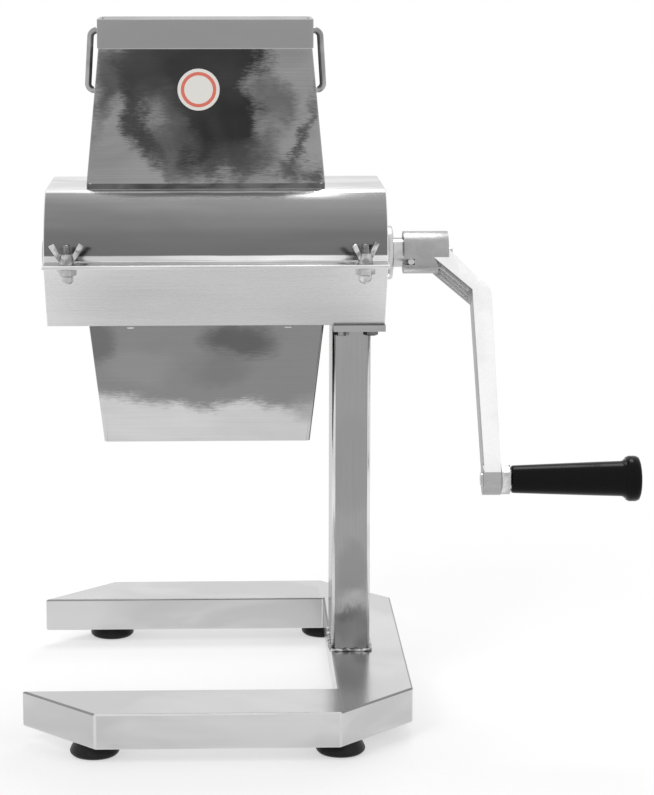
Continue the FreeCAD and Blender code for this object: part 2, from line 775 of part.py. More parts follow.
def make_hopper_handle(name, side):
    """Bent rod pull, welded upright along one end of the hopper."""
    body = new_body("hopper_handle_" + name, "working_x", "0", "cover_top")
    top = "(hopper_skirt_height + hopper_taper_height + hopper_collar_height - handle_top_drop)"
    low = f"({top} - handle_span)"
    lean = "((hopper_foot_length - hopper_mouth_length) / 2 + hopper_collar_inset)"
    low_wall = f"(hopper_foot_length / 2 - ({low} - hopper_skirt_height) * {lean} / hopper_taper_height)"
    top_wall = "(hopper_mouth_length / 2)"
    path = new_sketch(body, "XZ_Plane")
    reach = "handle_reach"
    bend = "handle_bend"
    corners = [
        (f"{top_wall}", top), (f"{top_wall} + {reach} - {bend}", top),
        (f"{top_wall} + {reach}", f"{top} - {bend}"),
        (f"{low_wall} + {reach}", f"{low} + {bend}"),
        (f"{low_wall} + {reach} - {bend}", low), (f"{low_wall}", low)]
    corners = [(f"{side} * ({across})", up) for across, up in corners]
    turn = f"{-side} * {bend}"
    corners[1] += (turn,)
    corners[3] += (turn,)
    draw_outline(path, corners, closed=False)
    rod = new_sketch(body, "YZ_Plane", f"{side} * {top_wall}")
    draw_circle(rod, "0", top, "handle_radius")
    pull = body.newObject("PartDesign::AdditivePipe", body.Name + "_rod")
    pull.Profile = rod
    pull.Spine = path


def make_clamp_studs():
    """Threaded studs that stand in the flanges."""
    body = new_body("clamp_studs", z="split - housing_sheet - lock_nut_height - cap_nut_height / 2")
    for _, x, y in clamp_places():
        rod = new_sketch(body, "XY_Plane")
        draw_circle(rod, x, y, "stud_radius")
        pad(body, rod, "cap_nut_height / 2 + lock_nut_height + 2 * housing_sheet + stud_rise")


def make_clamp_lock_nuts():
    """Hexagon nuts that fix the studs under the lower flange."""
    body = new_body("clamp_lock_nuts", z="split - housing_sheet - lock_nut_height")
    for _, x, y in clamp_places():
        nut = new_sketch(body, "XY_Plane")
        draw_hexagon(nut, x, y, "lock_nut_across")
        draw_circle(nut, x, y, "stud_radius + thread_gap")
        pad(body, nut, "lock_nut_height")


def make_clamp_cap_nut(name, x, y):
    """Domed cap nut that closes the lower end of a stud."""
    body = new_body("clamp_cap_nut_" + name, x, y, "split - housing_sheet - lock_nut_height")
    profile = new_sketch(body, "XZ_Plane")
    bore = "stud_radius + thread_gap"
    draw_outline(profile, [
        (bore, "0"), (bore, "-cap_nut_height / 2 - slip_gap"),
        ("0", "-cap_nut_height / 2 - slip_gap"), ("0", "-cap_nut_height"),
        ("cap_nut_radius - cap_nut_height / 2", "-cap_nut_height", "cap_nut_height / 2"),
        ("cap_nut_radius", "-cap_nut_height / 2"), ("cap_nut_radius", "0")])
    turn_round(body, profile, "Z_Axis")


def make_wing_nut(name, x, y, turn):
    """Wing nut: a coned hub on the stud with two flat wings."""
    body = new_body("wing_nut_" + name, x, y, "split + housing_sheet")
    body.Placement.Rotation = FreeCAD.Rotation(FreeCAD.Vector(0, 0, 1), turn)
    wings = new_sketch(body, "XZ_Plane", "-wing_thickness / 2")
    reach = "wing_nut_span / 2"
    tip = "wing_width / 3"
    right = [
        ("stud_radius", "wing_nut_hub_height / 4"),
        ("wing_nut_hub_radius", "wing_nut_hub_height / 4"),
        (reach, f"wing_nut_height - wing_width + {tip}"),
        (reach, f"wing_nut_height - {tip}", tip),
        (f"{reach} - {tip}", "wing_nut_height"),
        (f"{reach} - wing_width + {tip}", "wing_nut_height", tip),
        (f"{reach} - wing_width", f"wing_nut_height - {tip}"),
        ("stud_radius", "wing_nut_hub_height")]
    draw_outline(wings, right)
    pad(body, wings, "wing_thickness")
    other = new_sketch(body, "XZ_Plane", "-wing_thickness / 2")
    mirrored = [
        (f"-({right[place][0]})", right[place][1]) + ((tip,) if place in (4, 6) else ())
        for place in range(len(right) - 1, -1, -1)]
    draw_outline(other, mirrored)
    pad(body, other, "wing_thickness")
    hub = new_sketch(body, "XZ_Plane")
    draw_outline(hub, [
        ("0", "0"), ("wing_nut_hub_radius", "0"),
        ("wing_nut_neck_radius", "wing_nut_hub_height"), ("0", "wing_nut_hub_height")])
    turn_round(body, hub, "Z_Axis")
    bore = new_sketch(body, "XY_Plane", "-wing_nut_height")
    draw_circle(bore, "0", "0", "stud_radius + stud_play")
    cut(body, bore, "3 * wing_nut_height")


make_lower_case()
make_upper_cover()
make_outlet_chute()
make_feed_hopper()
make_hopper_handle("left", -1)
make_hopper_handle("right", 1)
make_clamp_studs()
make_clamp_lock_nuts()
# Each wing nut stopped at its own angle, in degrees, when it came up tight
wing_turns = (8, -20, 37, 65)
for (clamp, clamp_x, clamp_y), wing_turn in zip(clamp_places(), wing_turns):
    make_clamp_cap_nut(clamp, clamp_x, clamp_y)
    make_wing_nut(clamp, clamp_x, clamp_y, wing_turn)


# Roller cassette

def make_end_plate(name, left):
    """Plate that stands on the housing's floor and carries both rollers and both combs."""
    body = new_body("end_plate_" + name, left, "0", "split")
    outline = new_sketch(body, "YZ_Plane")
    low = "-case_height + housing_sheet"
    top = "cover_height - end_plate_top_gap"
    half = [("end_plate_floor_depth / 2", low), ("end_plate_depth / 2", "-end_plate_waist / 2"),
            ("end_plate_depth / 2", "end_plate_waist / 2"), ("end_plate_top_depth / 2", top)]
    draw_outline(outline, half + [("-" + across, up) for across, up in reversed(half)])
    for y in ("front_axis_y", "rear_axis_y"):
        draw_circle(outline, y, "0", "journal_radius + bush_wall + thread_gap")
    for y in ("-comb_screw_y", "comb_screw_y"):
        draw_circle(outline, y, "0", "comb_screw_radius + thread_gap")
    pad(body, outline, "end_plate_thickness")


def make_roller_bushes():
    """Plain bushes pressed into the end plates, two for each roller."""
    body = new_body("roller_bushes", z="split")
    for left in ("working_left - end_plate_thickness", "working_right"):
        for y in ("front_axis_y", "rear_axis_y"):
            ring = new_sketch(body, "YZ_Plane", left)
            draw_circle(ring, y, "0", "journal_radius + bush_wall")
            draw_circle(ring, y, "0", "journal_radius + running_gap")
            pad(body, ring, "end_plate_thickness")


def add_rod(body, left, right, radius):
    """Adds a round length of shaft between two places along the machine."""
    section = new_sketch(body, "YZ_Plane", left)
    draw_circle(section, "0", "0", radius)
    return pad(body, section, f"({right}) - ({left})")


def add_hexagon(body, left, right, flats):
    """Adds a hexagonal length of shaft between two places along the machine."""
    section = new_sketch(body, "YZ_Plane", left)
    draw_hexagon(section, "0", "0", flats)
    return pad(body, section, f"({right}) - ({left})")


def make_roller_shaft(name, y, left_end, right_end):
    """Hexagonal shaft with turned journals and a smaller hexagon for its gear."""
    body = new_body(name + "_roller_shaft", "0", y, "split")
    add_rod(body, left_end, "working_left + shoulder_gap", "journal_radius")
    add_hexagon(body, "working_left + shoulder_gap", "working_right - shoulder_gap", "shaft_hex")
    add_rod(body, "working_right - shoulder_gap", "gear_left", "journal_radius")
    add_hexagon(body, "gear_left", right_end, "seat_hex")
    if name == "front":
        cut_across(
            body, lambda sketch: draw_circle(sketch, "drive_pin_x", "0", "drive_pin_radius + thread_gap"),
            "drive_pin_tilt", "4 * journal_radius")
        tapped = new_sketch(body, "YZ_Plane", f"{right_end} - end_screw_depth - slip_gap")
        draw_circle(tapped, "0", "0", "end_screw_radius + thread_gap")
        cut(body, tapped, "2 * end_screw_depth")


def make_blades(name, y, count):
    """Stamped star discs on the hexagonal shaft, one pitch apart."""
    body = new_body(name + "_blades", "working_x", y, "split")
    first = f"-(({count} - 1) * blade_pitch + blade_thickness) / 2"
    disc = new_sketch(body, "YZ_Plane", first)
    teeth = int(value("blade_teeth"))
    corners = []
    for tooth in range(2 * teeth):
        radius = "blade_root_radius" if tooth % 2 else "blade_radius"
        angle = tooth * 180 / teeth
        corners.append((f"{radius} * cos({angle} deg)", f"{radius} * sin({angle} deg)"))
    draw_outline(disc, corners)
    draw_hexagon(disc, "0", "0", "shaft_hex + 2 * hex_play")
    repeat(body, pad(body, disc, "blade_thickness"), "X_Axis", count, "blade_pitch")


def make_spacers(name, y, count):
    """Round spacers that hold the blades apart, with a longer or shorter one at each end."""
    body = new_body(name + "_spacers", "working_x", y, "split")
    reach = f"(({count} - 1) * blade_pitch + blade_thickness) / 2"
    end = "(working_length / 2 - shoulder_gap)"
    rows = [(f"-{reach} + blade_thickness + spacer_play / 2",
             "blade_pitch - blade_thickness - spacer_play"),
            (f"-{end}", f"{end} - {reach} - spacer_play"),
            (f"{reach} + spacer_play", f"{end} - {reach} - spacer_play")]
    for left, length in rows:
        ring = new_sketch(body, "YZ_Plane", left)
        draw_circle(ring, "0", "0", "spacer_radius")
        draw_hexagon(ring, "0", "0", "shaft_hex + 2 * hex_play")
        spacer = pad(body, ring, length)
        if (left, length) == rows[0]:
            repeat(body, spacer, "X_Axis", f"{count} - 1", "blade_pitch")


def make_comb(name, turn, y, count):
    """Comb whose curved tines reach between the blades to the spacers and strip the meat off."""
    body = new_body(name + "_comb", "working_x", y, "split")
    body.Placement.Rotation = FreeCAD.Rotation(FreeCAD.Vector(0, 0, 1), turn)
    bar = new_sketch(body, "YZ_Plane", "-working_length / 2")
    draw_rectangle(
        bar, "-(comb_reach + comb_bar_depth)", "-(blade_radius + comb_blade_gap)",
        "-comb_bar_height / 2", "comb_bar_height / 2")
    pad(body, bar, "working_length")
    for left in ("-working_length / 2 - slip_gap", "working_length / 2 - comb_screw_depth - slip_gap"):
        hole = new_sketch(body, "YZ_Plane", left)
        draw_circle(hole, "-(comb_screw_y + front_axis_y)", "0", "comb_screw_radius + thread_gap")
        cut(body, hole, "comb_screw_depth + 2 * slip_gap")
    first = f"-(({count} - 2) * blade_pitch + tine_thickness) / 2"
    tine = new_sketch(body, "YZ_Plane", first)
    inner = "(spacer_radius + comb_gap)"
    corners = []
    for radius, side in ((inner, 1), ("comb_reach", 1), ("comb_reach", -1), (inner, -1)):
        corners.append((f"-{radius} * cos(comb_half_angle * 1 deg)",
                        f"{side} * {radius} * sin(comb_half_angle * 1 deg)"))
    corners[1] += ("comb_reach",)
    corners[3] += (f"-{inner}",)
    draw_outline(tine, corners)
    repeat(body, pad(body, tine, "tine_thickness"), "X_Axis", f"{count} - 1", "blade_pitch")


def make_comb_screws():
    """Screws through the end plates into the ends of the combs."""
    body = new_body("comb_screws", z="split")
    for head_left, shank_left in (
            ("working_left - end_plate_thickness - comb_screw_head", "working_left - end_plate_thickness"),
            ("working_right + end_plate_thickness", "working_right - comb_screw_depth")):
        for y in ("-comb_screw_y", "comb_screw_y"):
            head = new_sketch(body, "YZ_Plane", head_left)
            draw_circle(head, y, "0", "comb_screw_head_radius")
            pad(body, head, "comb_screw_head")
            shank = new_sketch(body, "YZ_Plane", shank_left)
            draw_circle(shank, y, "0", "comb_screw_radius")
            pad(body, shank, "end_plate_thickness + comb_screw_depth")


def involute_tooth(middle):
    """The outline of one gear tooth, root to root, about a middle angle in radians."""
    teeth = value("gear_teeth")
    steps = int(value("flank_steps"))
    pitch_radius = value("roller_spacing") / 2
    pressure = math.radians(value("pressure_angle"))
    base_radius = pitch_radius * math.cos(pressure)
    tip_radius = pitch_radius + value("gear_addendum")
    root_radius = pitch_radius - value("gear_dedendum")
    half = math.pi / (2 * teeth) - value("gear_backlash") / (4 * pitch_radius)
    half += math.tan(pressure) - pressure
    flank = [(root_radius, half)]
    for step in range(steps + 1):
        radius = base_radius + (tip_radius - base_radius) * step / steps
        roll = math.acos(base_radius / radius)
        flank.append((radius, half - (math.tan(roll) - roll)))
    outline = [(radius, middle - angle) for radius, angle in flank]
    outline += [(radius, middle + angle) for radius, angle in reversed(flank)]
    return [FreeCAD.Vector(0, radius * math.cos(angle), radius * math.sin(angle))
            for radius, angle in outline]


def make_gear(name, y, first_middle):
    """Spur gear with involute teeth and a hexagonal bore; both gears are alike."""
    gear = document.addObject("Part::Feature", name + "_gear")
    gear.Label = name + "_gear"
    teeth = int(value("gear_teeth"))
    points = []
    for tooth in range(teeth):
        points += involute_tooth(2 * math.pi * (tooth + first_middle) / teeth)
    reach = value("seat_hex / 2 + hex_play") / math.cos(math.radians(30))
    bore = [FreeCAD.Vector(0, reach * math.cos(math.radians(turn)), reach * math.sin(math.radians(turn)))
            for turn in range(0, 360, 60)]
    rim, hole = (Part.Face(Part.makePolygon(line + line[:1])) for line in (points, bore))
    gear.Shape = rim.cut(hole).extrude(FreeCAD.Vector(value("gear_width"), 0, 0))
    for direction, place in zip("xyz", ("gear_left", y, "split")):
        bind(gear, "Placement.Base." + direction, place)
    subparts.append(gear)


# Bearings and crank

def make_outer_bush():
    """Flanged bush for the drive sleeve, clamped between the case and the cover."""
    body = new_body("outer_bush", "housing_right", "front_axis_y", "split")
    profile = new_sketch(body, "XY_Plane")
    draw_outline(profile, [
        ("-outer_bush_inside", "sleeve_radius + running_gap"),
        ("outer_bush_flange", "sleeve_radius + running_gap"),
        ("outer_bush_flange", "outer_bush_flange_radius"), ("0", "outer_bush_flange_radius"),
        ("0", "outer_bush_radius"), ("-outer_bush_inside", "outer_bush_radius")])
    turn_round(body, profile, "X_Axis")


def make_left_bush():
    """Blind bush for the far end of the driven shaft, with a shoulder inside the wall."""
    body = new_body("left_bush", "housing_left", "front_axis_y", "split")
    profile = new_sketch(body, "XY_Plane")
    draw_outline(profile, [
        ("-left_bush_proud", "0"), ("-left_bush_proud + left_bush_cap", "0"),
        ("-left_bush_proud + left_bush_cap", "journal_radius + running_gap"),
        ("left_bush_inside", "journal_radius + running_gap"),
        ("left_bush_inside", "left_bush_radius"),
        ("housing_sheet + left_bush_shoulder", "left_bush_radius"),
        ("housing_sheet + left_bush_shoulder", "left_bush_radius + left_bush_shoulder"),
        ("housing_sheet", "left_bush_radius + left_bush_shoulder"),
        ("housing_sheet", "left_bush_radius"), ("-left_bush_proud", "left_bush_radius")])
    turn_round(body, profile, "X_Axis")


def make_drive_sleeve():
    """Round sleeve over the driven shaft's hexagon, turning in the outer bush."""
    left = "gear_left + gear_width + slip_gap"
    body = new_body("drive_sleeve", left, "front_axis_y", "split")
    section = new_sketch(body, "YZ_Plane")
    draw_circle(section, "0", "0", "sleeve_radius")
    draw_hexagon(section, "0", "0", "seat_hex + 2 * hex_play")
    pad(body, section, f"hub_left + hub_bore_depth - slip_gap - ({left})")
    pin_x = f"drive_pin_x - ({left})"
    cut_across(
        body, lambda sketch: draw_circle(sketch, pin_x, "0", "drive_pin_radius + thread_gap"),
        "drive_pin_tilt", "4 * sleeve_radius")


def tilt_to_crank(body):
    """Turns a body about the crank's axis by the crank's angle towards the user."""
    body.Placement.Rotation = FreeCAD.Rotation(FreeCAD.Vector(-1, 0, 0), value("crank_angle"))
    bind(body, "Placement.Rotation.Angle", "crank_angle")


def arm_side(share, inset):
    """A point on the slanted inner side of the arm: a share of its length, moved into the arm."""
    run = "(arm_inner - arm_root)"
    fall = "(arm_bend_inner - arm_root_drop)"
    size = f"sqrt({run}^2 + {fall}^2)"
    return (f"arm_root + {share} * {run} + ({inset}) * {fall} / {size}",
            f"-arm_root_drop - {share} * {fall} + ({inset}) * {run} / {size}")


def make_crank_arm():
    """Cast crank: a hub, an arm that steps outwards, ribbed on its inner side, and an eye."""
    body = new_body("crank_arm", "hub_left", "front_axis_y", "split")
    tilt_to_crank(body)
    add_rod(body, "0", "hub_length", "hub_radius")
    arm = new_sketch(body, "XZ_Plane", "-arm_width / 2")
    draw_outline(arm, [
        ("arm_root", "-arm_root_drop"), ("arm_inner", "-arm_bend_inner"),
        ("arm_inner", "-arm_length"), ("eye_left + eye_thickness", "-arm_length"),
        ("eye_left + eye_thickness", "-arm_length + 1.5 * eye_radius"),
        ("arm_inner + arm_thickness", "-arm_bend_outer - arm_bend_length", "arm_bend_radius"),
        ("arm_inner + arm_thickness - arm_bend_length", "-arm_bend_outer + arm_bend_length / 2"),
        ("hub_length", "-arm_root_drop / 2"),
        ("hub_length", "0"), ("arm_root", "0")])
    pad(body, arm, "arm_width")
    eye = new_sketch(body, "YZ_Plane", "eye_left")
    draw_circle(eye, "0", "-arm_length", "eye_radius")
    pad(body, eye, "eye_thickness")
    for groove in (-1, 0, 1):
        middle = f"{groove} * (arm_groove_width + arm_rib_width)"
        side = f"-arm_groove_width / 2 + {middle}"
        slant = new_sketch(body, "XZ_Plane", side)
        draw_outline(slant, [
            arm_side("groove_start_share", "-arm_recess_depth"),
            arm_side("groove_end_share", "-arm_recess_depth"),
            arm_side("groove_mouth_share", "arm_recess_depth"),
            arm_side("groove_start_share", "arm_recess_depth / 2")])
        cut(body, slant, "arm_groove_width")
    for left, length, radius in (
            ("-slip_gap", "hub_bore_depth + slip_gap", "sleeve_radius + hex_play"),
            ("-slip_gap", "hub_length - hub_end_wall + slip_gap", "seat_hex / 2 / cos(30 deg) + hex_play"),
            ("-slip_gap", "hub_length + 2 * slip_gap", "end_screw_radius + hex_play")):
        bore = new_sketch(body, "YZ_Plane", left)
        draw_circle(bore, "0", "0", radius)
        cut(body, bore, length)
    half = "(drive_pin_radius + bolt_play / 2)"
    cut_across(
        body, lambda sketch: draw_rectangle(
            sketch, "-slip_gap", "drive_pin_edge + 2 * drive_pin_radius", "-" + half, half),
        "drive_pin_tilt + crank_angle", "4 * hub_radius")
    spindle_hole = new_sketch(body, "YZ_Plane", "eye_left - slip_gap")
    draw_circle(spindle_hole, "0", "-arm_length", "spindle_radius + thread_gap")
    cut(body, spindle_hole, "eye_thickness + 2 * slip_gap")


def make_drive_pin():
    """Pin through the sleeve and the shaft that turns with the notch in the crank's hub."""
    body = new_body("drive_pin", "drive_pin_x", "front_axis_y", "split")
    body.Placement.Rotation = FreeCAD.Rotation(FreeCAD.Vector(1, 0, 0), value("drive_pin_tilt"))
    bind(body, "Placement.Rotation.Angle", "drive_pin_tilt")
    pin = new_sketch(body, "XZ_Plane", "-hub_radius + slip_gap")
    draw_circle(pin, "0", "0", "drive_pin_radius")
    pad(body, pin, "2 * hub_radius - 2 * slip_gap")


def make_end_screw():
    """Screw in the shaft's end that keeps the crank on."""
    body = new_body("end_screw", "hub_left + hub_length", "front_axis_y", "split")
    profile = new_sketch(body, "XY_Plane")
    draw_outline(profile, [
        ("-end_screw_length", "0"), ("end_screw_head", "0"),
        ("end_screw_head", "end_screw_head_radius - end_screw_head / 4", "-end_screw_head / 4"),
        ("end_screw_head * 3 / 4", "end_screw_head_radius"), ("0", "end_screw_head_radius"),
        ("0", "end_screw_radius"), ("-end_screw_length", "end_screw_radius")])
    turn_round(body, profile, "X_Axis")


def new_eye_body(label, x):
    """An empty body on the axis of the arm's eye."""
    body = new_body(label, x, "eye_y", "eye_z")
    tilt_to_crank(body)
    return body


def make_grip_spindle():
    """Headed spindle through the grip, the lock nut and the arm's eye."""
    body = new_eye_body("grip_spindle", "eye_x")
    shoulder = "eye_thickness + lock_nut_thickness + grip_play + grip_length - grip_recess_depth"
    add_rod(body, "-spindle_tail", shoulder + " + slip_gap", "spindle_radius")
    add_rod(body, shoulder + " + slip_gap", shoulder + " + slip_gap + spindle_head", "spindle_head_radius")


def make_grip_nut():
    """Hexagon nut that locks the spindle in the arm's eye."""
    body = new_eye_body("grip_lock_nut", "eye_x + eye_thickness")
    nut = new_sketch(body, "YZ_Plane")
    draw_hexagon(nut, "0", "0", "grip_nut_across")
    draw_circle(nut, "0", "0", "spindle_radius + thread_gap")
    pad(body, nut, "lock_nut_thickness")


def make_grip():
    """Moulded grip that widens to a round knob and turns on the spindle."""
    body = new_eye_body("grip", "eye_x + eye_thickness + lock_nut_thickness + grip_play")
    profile = new_sketch(body, "XY_Plane")
    bore = "spindle_radius + running_gap"
    knob = "(grip_length - knob_thickness)"
    turn = "grip_edge"
    draw_outline(profile, [
        ("0", bore), ("grip_length - grip_recess_depth", bore),
        ("grip_length - grip_recess_depth", "grip_recess_radius"),
        ("grip_length", "grip_recess_radius"),
        ("grip_length", f"knob_radius - {turn}", turn),
        (f"grip_length - {turn}", "knob_radius"),
        (f"{knob} + {turn}", "knob_radius", turn),
        (knob, f"knob_radius - {turn}"),
        (knob, "grip_outer_radius"), (f"{turn} / 2", "grip_inner_radius", f"{turn} / 2"),
        ("0", f"grip_inner_radius - {turn} / 2")])
    turn_round(body, profile, "X_Axis")


make_end_plate("left", "working_left - end_plate_thickness")
make_end_plate("right", "working_right")
make_roller_bushes()
make_roller_shaft(
    "front", "front_axis_y",
    "housing_left - left_bush_proud + left_bush_cap + slip_gap", "shaft_end")
make_roller_shaft(
    "rear", "rear_axis_y",
    "working_left - end_plate_thickness - shaft_tail", "gear_left + gear_width + shaft_tail")
for roller, axis_y, blades, comb_turn in (
        ("front", "front_axis_y", "blade_count", 0), ("rear", "rear_axis_y", "(blade_count - 1)", 180)):
    make_blades(roller, axis_y, blades)
    make_spacers(roller, axis_y, blades)
    make_comb(roller, comb_turn, axis_y, blades)
make_comb_screws()
make_gear("front", "front_axis_y", 0)
make_gear("rear", "rear_axis_y", 0.5)
make_outer_bush()
make_left_bush()
make_drive_sleeve()
make_crank_arm()
make_drive_pin()
make_end_screw()
make_grip_spindle()
make_grip_nut()
make_grip()


def check_and_export():
    """Stops on any failed object, then writes each sub-part's solids to its own file."""
    document.recompute()
    for thing in document.Objects:
        assert not {"Invalid", "Error"} & set(thing.State), thing.Label + " failed"
    os.makedirs("parts", exist_ok=True)
    for subpart in subparts:
        shape = subpart.Shape
        assert not shape.isNull() and shape.isValid(), subpart.Label + " has no sound shape"
        shape.exportStep(os.path.join("parts", subpart.Label + ".step"))
        print(subpart.Label, len(shape.Solids), "solids", round(shape.Volume), "mm3")


check_and_export()
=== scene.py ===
"""Hand cranked meat tenderizer: the finish of every piece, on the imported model."""
import math

import bmesh
import bpy
from mathutils import Matrix, Vector
from mathutils.bvhtree import BVHTree


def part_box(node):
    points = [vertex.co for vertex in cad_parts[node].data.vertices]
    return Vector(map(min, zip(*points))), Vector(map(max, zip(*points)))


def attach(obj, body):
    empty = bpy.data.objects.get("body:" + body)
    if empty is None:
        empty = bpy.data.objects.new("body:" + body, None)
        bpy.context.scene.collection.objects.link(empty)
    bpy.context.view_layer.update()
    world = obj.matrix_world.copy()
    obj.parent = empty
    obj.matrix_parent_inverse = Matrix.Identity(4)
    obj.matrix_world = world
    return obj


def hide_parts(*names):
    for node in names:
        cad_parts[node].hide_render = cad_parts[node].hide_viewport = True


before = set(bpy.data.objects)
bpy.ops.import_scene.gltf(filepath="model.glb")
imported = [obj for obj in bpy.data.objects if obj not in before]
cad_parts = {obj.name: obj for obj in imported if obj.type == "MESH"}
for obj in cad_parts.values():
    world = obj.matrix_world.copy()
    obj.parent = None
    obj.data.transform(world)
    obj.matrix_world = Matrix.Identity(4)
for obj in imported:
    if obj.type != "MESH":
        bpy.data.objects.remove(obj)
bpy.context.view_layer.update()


# The room that the machine stands in for its picture: a pale floor, a white surround and soft lamps.
# The lamps are set so that a colour renders about as it is written.
def feed(tree, socket, source):
    """Gives an input a value, or links it to the given output or to a node's first output."""
    if isinstance(source, bpy.types.Node):
        source = source.outputs[0]
    if isinstance(source, bpy.types.NodeSocket):
        tree.links.new(source, socket)
    else:
        socket.default_value = source


def set_up(tree, made, *sources, **settings):
    """Sets a node's properties, then feeds its inputs in order and by name."""
    feeds = dict(enumerate(sources))
    for name, setting in settings.items():
        if hasattr(made, name):
            setattr(made, name, setting)
        else:
            feeds[name.replace("_", " ")] = setting
    for place, source in feeds.items():
        feed(tree, made.inputs[place], source)
    return made


def node(tree, kind, *sources, **settings):
    """A new shader node, set up and fed."""
    return set_up(tree, tree.nodes.new("ShaderNode" + kind), *sources, **settings)


def places_on(tree):
    """The places on the object, in its own metres."""
    return node(tree, "TexCoord").outputs["Object"]


def seen_directly(tree):
    """One for rays from the camera and from mirror-like and clear surfaces, else zero."""
    path = node(tree, "LightPath")
    total = path.outputs["Is Camera Ray"]
    for ray in ("Is Glossy Ray", "Is Transmission Ray"):
        total = node(tree, "Math", total, path.outputs[ray], operation="MAXIMUM")
    return total


def light_the_world():
    """White where it is seen, and a plain soft light on the object elsewhere."""
    world = bpy.data.worlds.new("studio_air")
    bpy.context.scene.world = world
    world.use_nodes = True
    tree = world.node_tree
    tree.nodes.clear()
    soft = node(tree, "Background", Color=(1, 1, 1, 1), Strength=0.42)
    white = node(tree, "Background", Color=(1, 1, 1, 1), Strength=1.0)
    node(tree, "OutputWorld", node(tree, "MixShader", seen_directly(tree), soft, white))


def lay_the_floor():
    """A wide matt floor that fades to white and keeps the machine's soft shadow."""
    mesh = bmesh.new()
    bmesh.ops.create_circle(mesh, cap_ends=True, segments=96, radius=6.0)
    data = bpy.data.meshes.new("studio_floor")
    mesh.to_mesh(data)
    mesh.free()
    floor = bpy.data.objects.new("studio_floor", data)
    bpy.context.scene.collection.objects.link(floor)
    paint = bpy.data.materials.new("studio_floor_paint")
    paint.use_nodes = True
    tree = paint.node_tree
    tree.nodes.clear()
    matt = node(tree, "BsdfDiffuse", Color=(0.5, 0.5, 0.5, 1))
    dark, glow, white = (node(tree, "Emission", Color=(1, 1, 1, 1), Strength=strength)
                         for strength in (0.0, 0.55, 1.0))
    seen = seen_directly(tree)
    near = node(tree, "AddShader", matt, node(tree, "MixShader", seen, dark, glow))
    far = node(tree, "MixShader", seen, matt, white)
    reach = node(tree, "VectorMath", places_on(tree), operation="LENGTH")
    fade = node(tree, "MapRange", reach.outputs["Value"], interpolation_type="SMOOTHSTEP",
                From_Min=0.35, From_Max=0.9)
    node(tree, "OutputMaterial", node(tree, "MixShader", fade, near, far))
    data.materials.append(paint)


def hang_lamp(name, place, aim, size, power, mirrored=False):
    """A square soft lamp that faces the given point, and shows in mirror-like metal or not."""
    data = bpy.data.lights.new(name, "AREA")
    data.shape = "SQUARE"
    data.size = size
    data.energy = power
    lamp = bpy.data.objects.new(name, data)
    bpy.context.scene.collection.objects.link(lamp)
    lamp.location = place
    lamp.visible_camera = False
    lamp.visible_glossy = mirrored
    lamp.rotation_euler = (Vector(aim) - Vector(place)).to_track_quat("-Z", "Y").to_euler()


light_the_world()
lay_the_floor()
lamp_aim = (0, 0, 0.28)
hang_lamp("key_lamp", (-1.3, -1.7, 1.9), lamp_aim, 1.1, 20)
hang_lamp("fill_lamp", (1.7, -1.2, 1.0), lamp_aim, 1.2, 8)
hang_lamp("top_lamp", (0.0, 0.75, 2.2), lamp_aim, 0.9, 14, mirrored=True)
hang_lamp("back_lamp", (0.6, 1.9, 1.3), lamp_aim, 1.2, 10)


# The photographer's camera stood about two metres off, a little left of the middle and above the
# hopper, and its picture was cut out of a larger one, so the lens is shifted a little.
camera_place = (-0.0797, -1.8929, 0.6061)
camera_turn = 0.0282
camera_dip = 0.1527
camera_data = bpy.data.cameras.new("photo_camera")
camera_data.lens = 110.3
camera_data.sensor_width = 36
camera_data.shift_x = 0.05
camera_data.shift_y = -0.12
camera = bpy.data.objects.new("photo_camera", camera_data)
camera.location = camera_place
camera.rotation_euler = (math.pi / 2 - camera_dip, 0, -camera_turn)
bpy.context.scene.collection.objects.link(camera)
bpy.context.scene.camera = camera
bpy.context.scene.view_settings.view_transform = "Standard"


# The base is one channel of brushed stainless sheet in the shape of a C, cut, folded and welded.
# Its upright folds and its front top edge carry a painted highlight, and its other top folds a
# painted shade line. A seam parts each leg from the cross rail.
MM = 0.001


def blend(tree, share, first, second):
    """The first colour, blended into the second by a share."""
    mix = node(tree, "Mix", share, data_type="RGBA")
    feed(tree, mix.inputs[6], first)
    feed(tree, mix.inputs[7], second)
    return mix.outputs[2]


def grey(level):
    """A neutral colour whose brightness is the given one of 255 steps."""
    share = level / 255
    linear = share / 12.92 if share <= 0.04045 else ((share + 0.055) / 1.055) ** 2.4
    return (linear, linear, linear, 1.0)


